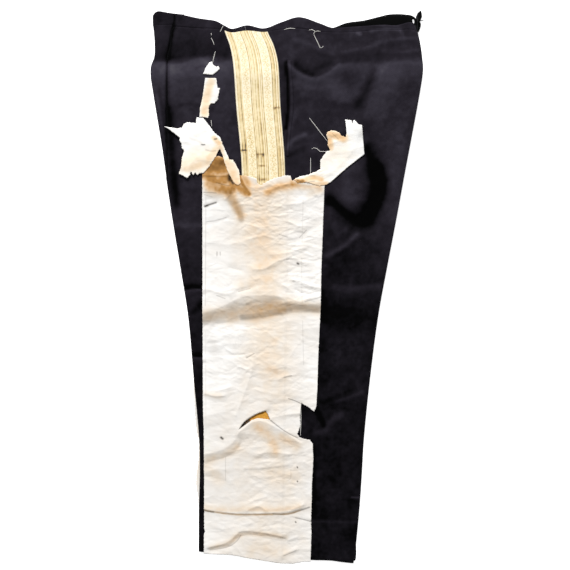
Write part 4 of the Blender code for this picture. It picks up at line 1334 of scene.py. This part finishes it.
def under_front(name, top, bottom, columns, rows, material):
    """Front of the under half beyond the fly: round its fold and in under the upper half."""
    left = lambda v: front_side(v) + UNDER_REACH
    u, v = panel_grid(left, lambda v: fly(v) + 16.0, top, bottom, even(columns), even(rows))
    line = v[:, :1]
    quarter = stack(line) / 4
    a = np.radians(np.linspace(-80.0, 90.0, 10)[:-1])[None, :]
    crease = relief(u, v, CLOTH_FOLDS) * 0.6 + relief(u, v, ((-0.9, 3.0, 3.0, *UNDER_CREASE),))
    crease = crease * ramp(u, front_side(v) + 6.0, front_side(v) + 16.0)
    edge = front_side(line) + ramp(30.0 - line, 0.0, 26.0) * 0.8
    sides = []
    for inset in (0.0, CLOTH):
        fu = edge + UNDER_REACH - (UNDER_REACH - inset) * np.cos(a)
        fv = top(fu) + (bottom(fu) - top(fu)) * even(rows)[:, None]
        fz = quarter + (quarter - GAP - inset) * np.sin(a)
        sides.append(beside_each_other((fu, fv, fz), (u, v, stack(v) / 2 - GAP - inset + crease)))
    outer, inner = sides
    # Painted highlight and shade along the crease of the under front.
    painted = np.clip(tone(*outer[:2]) + relief(*outer[:2], UNDER_FRONT_PAINTED_LIGHT), 0.02, 0.98)
    return shell(name, outer, inner, {"tone": painted}, material)


def build_under_front(cloth):
    below_band = level(UNDER_BAND + SEAM / 2)
    underlap = under_front("fly_underlap_cloth", below_band, level(FLY_END), 16, 120, cloth)
    finish_piece(underlap, "wool_cloth", "fly_underlap")
    above_seam = level(UNDER_BAND - SEAM / 2)
    band = under_front("waistband_underlap_cloth", under_band_top, above_seam, 24, 14, cloth)
    finish_piece(band, "wool_cloth", "waistband_underlap")


def build_inner_layers(cloth):
    """The under leg as a flat tube, and the inner side of the upper leg over it."""
    left = lambda v: front_side(v) + FOLD_REACH
    right = lambda v: back_side(v) - 1.0 + 4.5 * ramp(v, 1000.0, 1040.0) - FOLD_REACH
    top = lambda u: np.maximum(under_waist(u) + 14.0, 40.0)
    u, v = panel_grid(left, right, top, lambda u: hem(u) - 3.0, even(46), even(130))
    # Above the crotch the under leg lies lower, and its front edge farther in, to leave room for the fly.
    sunk = 1.0 - ramp(v, 300.0, 330.0)
    sides = []
    for inset in (0.0, CLOTH):
        upper_z = stack(v) / 2 - GAP - inset - 2.2 * sunk
        lower_z = level(inset)(v)
        half, middle = (upper_z - lower_z) / 2, (upper_z + lower_z) / 2
        loop = [(u, v, upper_z)]
        for column, into, start in ((-1, -1, 90.0), (0, 1, -90.0)):
            a = np.radians(np.linspace(start, -start, 11)[1:-1])[None, :]
            reach = FOLD_REACH - inset - 2.0 * sunk[:, :1] * (into > 0)
            fu = u[:, column][:, None] - into * reach * np.cos(a)
            fz = middle[:, column][:, None] + half[:, column][:, None] * np.sin(a)
            loop.append((fu, np.repeat(v[:, column][:, None], 9, axis=1), fz))
        loop.insert(2, (u[:, ::-1], v[:, ::-1], lower_z))
        sides.append(beside_each_other(*loop))
    outer, inner = sides
    painted = np.clip(tone(*outer[:2]) - 0.05, 0.02, 0.98)
    under = shell("inner_layers_cloth", outer, inner, {"tone": painted}, cloth, tube=True)
    finish_piece(under, "wool_cloth", "hidden_layers")

    u, v = panel_grid(lambda v: upper_front(v) + 8.0, lambda v: back_side(v) - 8.0, level(CROTCH),
                      lambda u: hem(u) - 1.0, even(40), even(100))
    z = stack(v) / 2 + GAP + CLOTH
    upper = shell("upper_leg_inner_cloth", (u, v, z), (u, v, z - CLOTH), {"tone": tone(u, v) - 0.1}, cloth)
    finish_piece(upper, "wool_cloth")


def lining_top(u, v):
    """Upper side of the waist lining: raised where the waist gapes, rolled at its edge."""
    rise = 2.6 * ramp(u, 350.0, 420.0) * (1.0 - ramp(u, 470.0, 498.0)) * (1.0 - ramp(v, 10.0, 60.0))
    rolled = 0.8 * (1.0 - ramp(v - under_waist(u), 0.0, 2.5))
    return 4.2 + rise + 0.5 * np.sin(u / 19.0) * np.sin(v / 11.0) - rolled


# Tone of the lining: a gentle ripple, and the sheen painted along its edges and folds.
def lining_tone(u, v):
    return 0.16 + 0.06 * np.sin(u / 14.0 + v / 9.0) + relief(u, v, LINING_PAINTED_SHEEN)


def build_waist(black):
    """Inside of the under half at the open waist, and the lacing tape at its back."""
    last = UNDER_WAIST[-1]
    edge = [(u, float(under_waist(u)), 0.0) for u in np.arange(20.0, last[0], 2.0)]
    edge += [(*last, 0.0), (last[0], LINING_END, 0.0), (20.0, LINING_END, 0.0)]
    rings = [torn(edge, 17, 2.0), torn(TAPE_HOLE, 18, 1.2)]
    lined = torn_sheet("waist_lining_cloth", rings, 3.0, lining_top, 2.2, {"tone": lining_tone}, black)
    finish_piece(lined, "waist_lining", "under_waist_lining")

    sides = 14
    rings, values = [], []
    for tu, tv, half, under, thick in TAPE:
        for k in range(sides):
            a = 2.0 * math.pi * k / sides
            rings.append((tu + half * math.cos(a), tv, under + thick / 2 + thick / 2 * math.sin(a)))
            values.append(0.25 + 0.55 * (k % 4 == 1))
    tape = new_mesh("lacing_tape_cloth", place(*np.array(rings).T), rod_faces(len(TAPE), sides),
                    {"tone": np.array(values)}, black)
    finish_piece(tape, "waist_lining", "lacing_tape")


def lace_pattern(share, v, width):
    """Darkness and height of the weave at a share of the width."""
    dark_amount = np.zeros_like(share)
    high = np.zeros_like(share)
    for centre, half, dark, height in LACE_RIBS:
        ridge = np.exp(-(((share - centre) * width / half) ** 2))
        dark_amount = np.maximum(dark_amount, dark * ridge)
        high += height * ridge
    for side, middle in enumerate(LACE_BANDS):
        across = (share - middle) * width
        turn = 2.0 * math.pi * (v / LACE_PITCH + 0.5 * side)
        vine = np.abs(across - 4.6 * np.sin(turn))
        leaf_v = (np.mod(v / LACE_PITCH * 2 + side, 1.0) - 0.5) * LACE_PITCH / 2
        leaf = np.hypot(across + 3.4 * np.sin(turn), leaf_v)
        curl = np.abs(leaf - 2.4 - 0.7 * np.sin(3.0 * turn + across))
        in_band = 1.0 - ramp(np.abs(across), 6.4, 7.2)
        drawn = np.maximum(0.8 * np.exp(-((vine / 0.7) ** 2)), 0.8 * np.exp(-((curl / 0.8) ** 2))) * in_band
        dark_amount = np.maximum(dark_amount, 0.34 * drawn)
        high -= 0.16 * drawn
    return dark_amount, high


def build_lace(gilt):
    """The stripe of lace, with a finer mesh where it shows: above the paper and in the paper's tear."""
    down = np.concatenate([np.linspace(0.0, 0.30, 285), np.linspace(0.305, 0.68, 40),
                           np.linspace(0.69, 0.76, 60), np.linspace(0.77, 1.0, 30)])
    top = lambda u: band_line(u) + 0.6
    bottom = lambda u: hem(u) - 1.0
    u, v = panel_grid(lace_front, lace_back, top, bottom, even(92), down)
    share = even(92)[None, :] + 0.0 * v
    width = lace_back(v) - lace_front(v)
    dark_amount, high = lace_pattern(share, v, width)
    for su, sv, half_u, half_v, dark in LACE_STAINS:
        dark_amount = dark_amount + dark * np.exp(-(((u - su) / half_u) ** 2) - ((v - sv) / half_v) ** 2)
    dark_amount = dark_amount * (1.12 + mottled(u, v, (0.32, 9.0, 8), (0.25, 4.0, 9)))
    dark_amount = dark_amount + 0.04 * mottle(u, v, 12.0, 10) + 0.04 + 0.06 * ramp(v, 120.0, 300.0)
    # From here on only the paper's tear shows the lace, which is amber there. At the tear's left, under the
    # paper's edge, the lace is painted near black for the shade.
    hidden = ramp(v, 600.0, 740.0)
    amber = 0.97 + 0.04 * mottle(u, v, 9.0, 11) - 0.17 * (1.0 - ramp(u, 187.0, 193.0))
    dark_amount = np.minimum(dark_amount, TARNISHED) * (1.0 - hidden) + amber * hidden
    edge = np.minimum(share, 1.0 - share) * width
    base = cloth_top(u, v) + GAP
    z = base + LACE * (0.45 + 0.55 * ramp(edge, 0.0, 1.6)) + high * ramp(edge, 0.0, 2.0)
    lace = shell("gold_lace_stripe", (u, v, z), (u, v, base), {"dark_amount": np.clip(dark_amount, 0.0, 1.0)}, gilt)
    finish_piece(lace, "gold_lace", "gold_lace")


def build_pocket(cloth):
    """Lip of the side pocket, and the mouth beside it, whose shade is painted on the lip's inner edge."""
    v, s = np.meshgrid(np.linspace(POCKET[0][0], POCKET[-1][0], 90), even(9), indexing="ij")
    u = pocket(v) + WELT_WIDTH * s * (1.0 - 0.3 * ramp(v, 200.0, 278.0))
    body = np.sin(np.pi * s) ** 0.5
    z = cloth_top(u, v) + 0.15 + (WELT + 0.5) * body
    # Painted highlight along the middle of the lip and painted shade on its edge at the mouth.
    value = np.clip(tone(u, v) + 0.05 * np.exp(-(((s - 0.55) / 0.25) ** 2)) - 0.5 * (s < 0.12), 0.0, 1.0)
    lip = shell("pocket_welt_cloth", (u, v, z), (u, v, cloth_top(u, v) + 0.05), {"tone": value}, cloth)
    finish_piece(lip, "wool_cloth", "pocket_welt")


def paper_top(lift, creases, crumples, under=None):
    """Height of a paper's upper side, as a function of u and v. under is the top of a paper below it."""
    def top(u, v):
        bumps = relief(u, v, creases, 1.25)
        for row in crumples:
            bumps = bumps + crumple(u, v, *row)
        z = paper_ground(u, v) + PAPER + lift(u, v) + np.maximum(bumps, -0.35 - 0.5 * lift(u, v))
        return z if under is None else np.maximum(z, under(u, v) + PAPER + GAP)
    return top


def paper_sheet(name, rings, top, base_age, material, stains_and_shade=(), age_and_shade_rows=(), marks=()):
    """Torn sheet over the cloth and lace, lifted and creased."""
    marks = [(dark, half, half, *line) for dark, half, *line in marks]

    def age_and_shade(u, v):
        broken = 1.0 + mottled(u, v, (0.14, 9.0, 4), (0.10, 4.0, 5))
        patches = mottled(u, v, (0.03, 40.0, 6), (0.02, 14.0, 7))
        # Ageing, stains, and the warm painted shade of the folds and of the hollow under the top left corner.
        stain_and_shade = relief(u, v, age_and_shade_rows) + strongest(u, v, stains_and_shade, lambda row: 3.0)
        return np.clip(base_age + stain_and_shade * broken + patches, 0.0, 1.0)

    def dark_amount(u, v):
        # Painted shade of creases and hollows, holes and marks. The wide rows of broad painted shade have
        # flatter sides.
        return strongest(u, v, marks, lambda row: ROUND if row[1] < 6.0 else 3.5)

    spacing = PAPER_MESH
    return torn_sheet(name, rings, spacing, top, PAPER, {"age_and_shade": age_and_shade, "dark_amount": dark_amount}, material, marks)


def build_paper(white, bright):
    cover_top = paper_top(lambda u, v: 1.2 + 0.6 * np.sin(u / 31.0 + 0.8) * np.sin(v / 47.0), COVER_CREASES,
                          COVER_CRUMPLES)
    cover = paper_sheet("paper_cover_sheet", [torn(COVER, 11), torn(TEAR, 12)], cover_top, COVER_AGE, white,
                        COVER_STAINS_AND_SHADE, PAPER_AGE_AND_SHADE, PAPER_SHADE_AND_MARKS)
    finish_piece(cover, "tissue_paper", "paper_cover")
    left_top = paper_top(lambda u, v: 1.6 + 3.2 * ramp(130.0 - u, 0.0, 80.0), FLAP_LEFT_CREASES,
                         FLAP_LEFT_CRUMPLES, cover_top)
    flap = paper_sheet("paper_flap_left_sheet", [torn(FLAP_LEFT, 13)], left_top, FLAP_AGE, bright,
                       FLAP_LEFT_STAINS, marks=FLAP_LEFT_LINES)
    finish_piece(flap, "tissue_paper", "paper_flap_left")
    right_top = paper_top(lambda u, v: 0.9 + 5.5 * ramp(318.0 - v, 0.0, 100.0), FLAP_RIGHT_CREASES,
                          FLAP_RIGHT_CRUMPLES, cover_top)
    flap = paper_sheet("paper_flap_right_sheet", [torn(FLAP_RIGHT, 14)], right_top, FLAP_AGE, bright,
                       FLAP_RIGHT_STAINS, marks=FLAP_RIGHT_LINES)
    finish_piece(flap, "tissue_paper", "paper_flap_right")
    strip_top = paper_top(lambda u, v: 0.8, (), STRIP_CRUMPLES)
    strip = paper_sheet("paper_strip_sheet", [torn(STRIP_LEFT, 15, 1.2)], strip_top, FLAP_AGE, bright,
                        STRIP_STAINS)
    finish_piece(strip, "tissue_paper", "paper_strip_left")
    scrap = paper_sheet("paper_scrap_sheet", [torn(SCRAP, 16, 1.2)], strip_top, FLAP_AGE, bright)
    finish_piece(scrap, "tissue_paper", "paper_scrap")

    rows, columns = 150, 14
    v, s = np.meshgrid(np.linspace(UNDER_PAPER[0][0], UNDER_PAPER[-1][0], rows), even(columns), indexing="ij")
    ragged = np.random.default_rng(36).normal(0.0, 0.35, rows)[:, None] * (1.0 - s)
    u = under_paper(v) + ragged + UNDER_PAPER_WIDTH * s
    free = 1.0 - ramp(s, 0.0, 0.16)
    z = 0.7 + 0.5 * free * (1.0 + np.sin(v / 13.0)) * 0.5
    value = 0.12 + 0.10 * np.sin(v / 60.0) ** 2
    paint = {"age_and_shade": value, "dark_amount": 0.0 * value}
    sliver = shell("under_leg_paper_sheet", (u, v, z), (u, v, z - PAPER), paint, white)
    finish_piece(sliver, "tissue_paper", "under_leg_paper")


def thread(points, radius, sides):
    """Rings of points round a thin thread, which tapers at both ends."""
    ahead = np.gradient(points, axis=0)
    ahead /= np.linalg.norm(ahead, axis=1)[:, None]
    across = np.cross(ahead, [0.0, 0.0, 1.0])
    across /= np.linalg.norm(across, axis=1)[:, None]
    upward = np.cross(across, ahead)
    a = np.linspace(0.0, 2.0 * np.pi, sides, endpoint=False)[None, :, None]
    taper = np.sin(np.linspace(0.35, np.pi - 0.35, len(points))) ** 0.5
    round_it = np.cos(a) * across[:, None, :] + np.sin(a) * upward[:, None, :]
    return (points[:, None, :] + radius * taper[:, None, None] * round_it).reshape(-1, 3)


def threads(name, rows, radius, height, material, sides=6):
    """Stitches and loose ends lying on the cloth."""
    points, faces = [], []
    start = 0
    for row in rows:
        u, v = stepped(path(row, 0), 1.6, 6)
        z = height(u, v) + radius * 0.7 + 0.6 * np.sin(np.linspace(0.0, np.pi, len(u)))
        points.append(thread(place(u, v, z) / MM, radius, sides) * MM)
        faces.append(np.array(rod_faces(len(u), sides)) + start)
        start += len(u) * sides
    points = np.concatenate(points)
    piece = new_mesh(name, points, np.concatenate(faces), {"tone": np.full(len(points), 0.6)}, material)
    return finish_piece(piece, None)


def build_threads(white_thread, black):
    ground = lambda u, v: np.maximum(cloth_top(u, v), paper_ground(u, v) - GAP)
    threads("basting_threads", THREADS, THREAD, ground, white_thread)
    threads("tape_end_thread", TAPE_END, TAPE_THREAD, lambda u, v: TAPE_END_Z, black)


def aimed(direction):
    """Turn of a light that shines along the direction."""
    return Vector(direction).to_track_quat("-Z", "Y").to_euler()


def build_stage():
    """White floor, as in the photo, a soft lamp above it, and a key light from the waist's side."""
    half, under = 4.0, -0.0006
    mesh = bpy.data.meshes.new("floor")
    corners = [(x, y, under) for x, y in ((-half, -half), (half, -half), (half, half), (-half, half))]
    mesh.from_pydata(corners, [], [(0, 1, 2, 3)])
    material = bpy.data.materials.new("floor")
    material.use_nodes = True
    inputs = material.node_tree.nodes["Principled BSDF"].inputs
    inputs["Base Color"].default_value = (0.90, 0.90, 0.90, 1.0)
    inputs["Roughness"].default_value = 0.9
    inputs["Specular IOR Level"].default_value = 0.0
    inputs["Emission Color"].default_value = (1.0, 1.0, 1.0, 1.0)
    inputs["Emission Strength"].default_value = 0.75
    mesh.materials.append(material)
    put("floor", mesh)

    fill = bpy.data.lights.new("fill", "AREA")
    fill.shape = "SQUARE"
    fill.size = 2.6
    fill.energy = 13.0
    lamp = put("fill", fill)
    lamp.location = FILL_AT
    lamp.rotation_euler = aimed([-x for x in FILL_AT])
    key = bpy.data.lights.new("key", "SUN")
    key.angle = math.radians(16.0)
    key.energy = 4.0
    put("key", key).rotation_euler = aimed(KEY_DIRECTION)
    world = bpy.data.worlds.new("studio")
    world.use_nodes = True
    inputs = world.node_tree.nodes["Background"].inputs
    inputs["Color"].default_value = (1.0, 1.0, 1.0, 1.0)
    inputs["Strength"].default_value = 0.26
    bpy.context.scene.world = world
    bpy.context.scene.view_settings.view_transform = "Standard"


def build_camera():
    data = bpy.data.cameras.new("camera")
    data.lens = 85.0
    data.sensor_width = 36.0
    camera = put("camera", data)
    camera.location = CAMERA_AT
    bpy.context.scene.camera = camera


cloth = wool("wool")
black = lining("black_lining")
gilt = gold("gilt_lace")
aged_paper = paper("aged_paper", AGED)
torn_paper = paper("torn_paper", TORN_AGED)
build_stage()
build_camera()
build_inner_layers(cloth)
build_under_front(cloth)
build_upper_half(cloth)
build_waist(black)
build_lace(gilt)
build_pocket(cloth)
build_paper(aged_paper, torn_paper)
build_threads(cotton("cotton"), black)
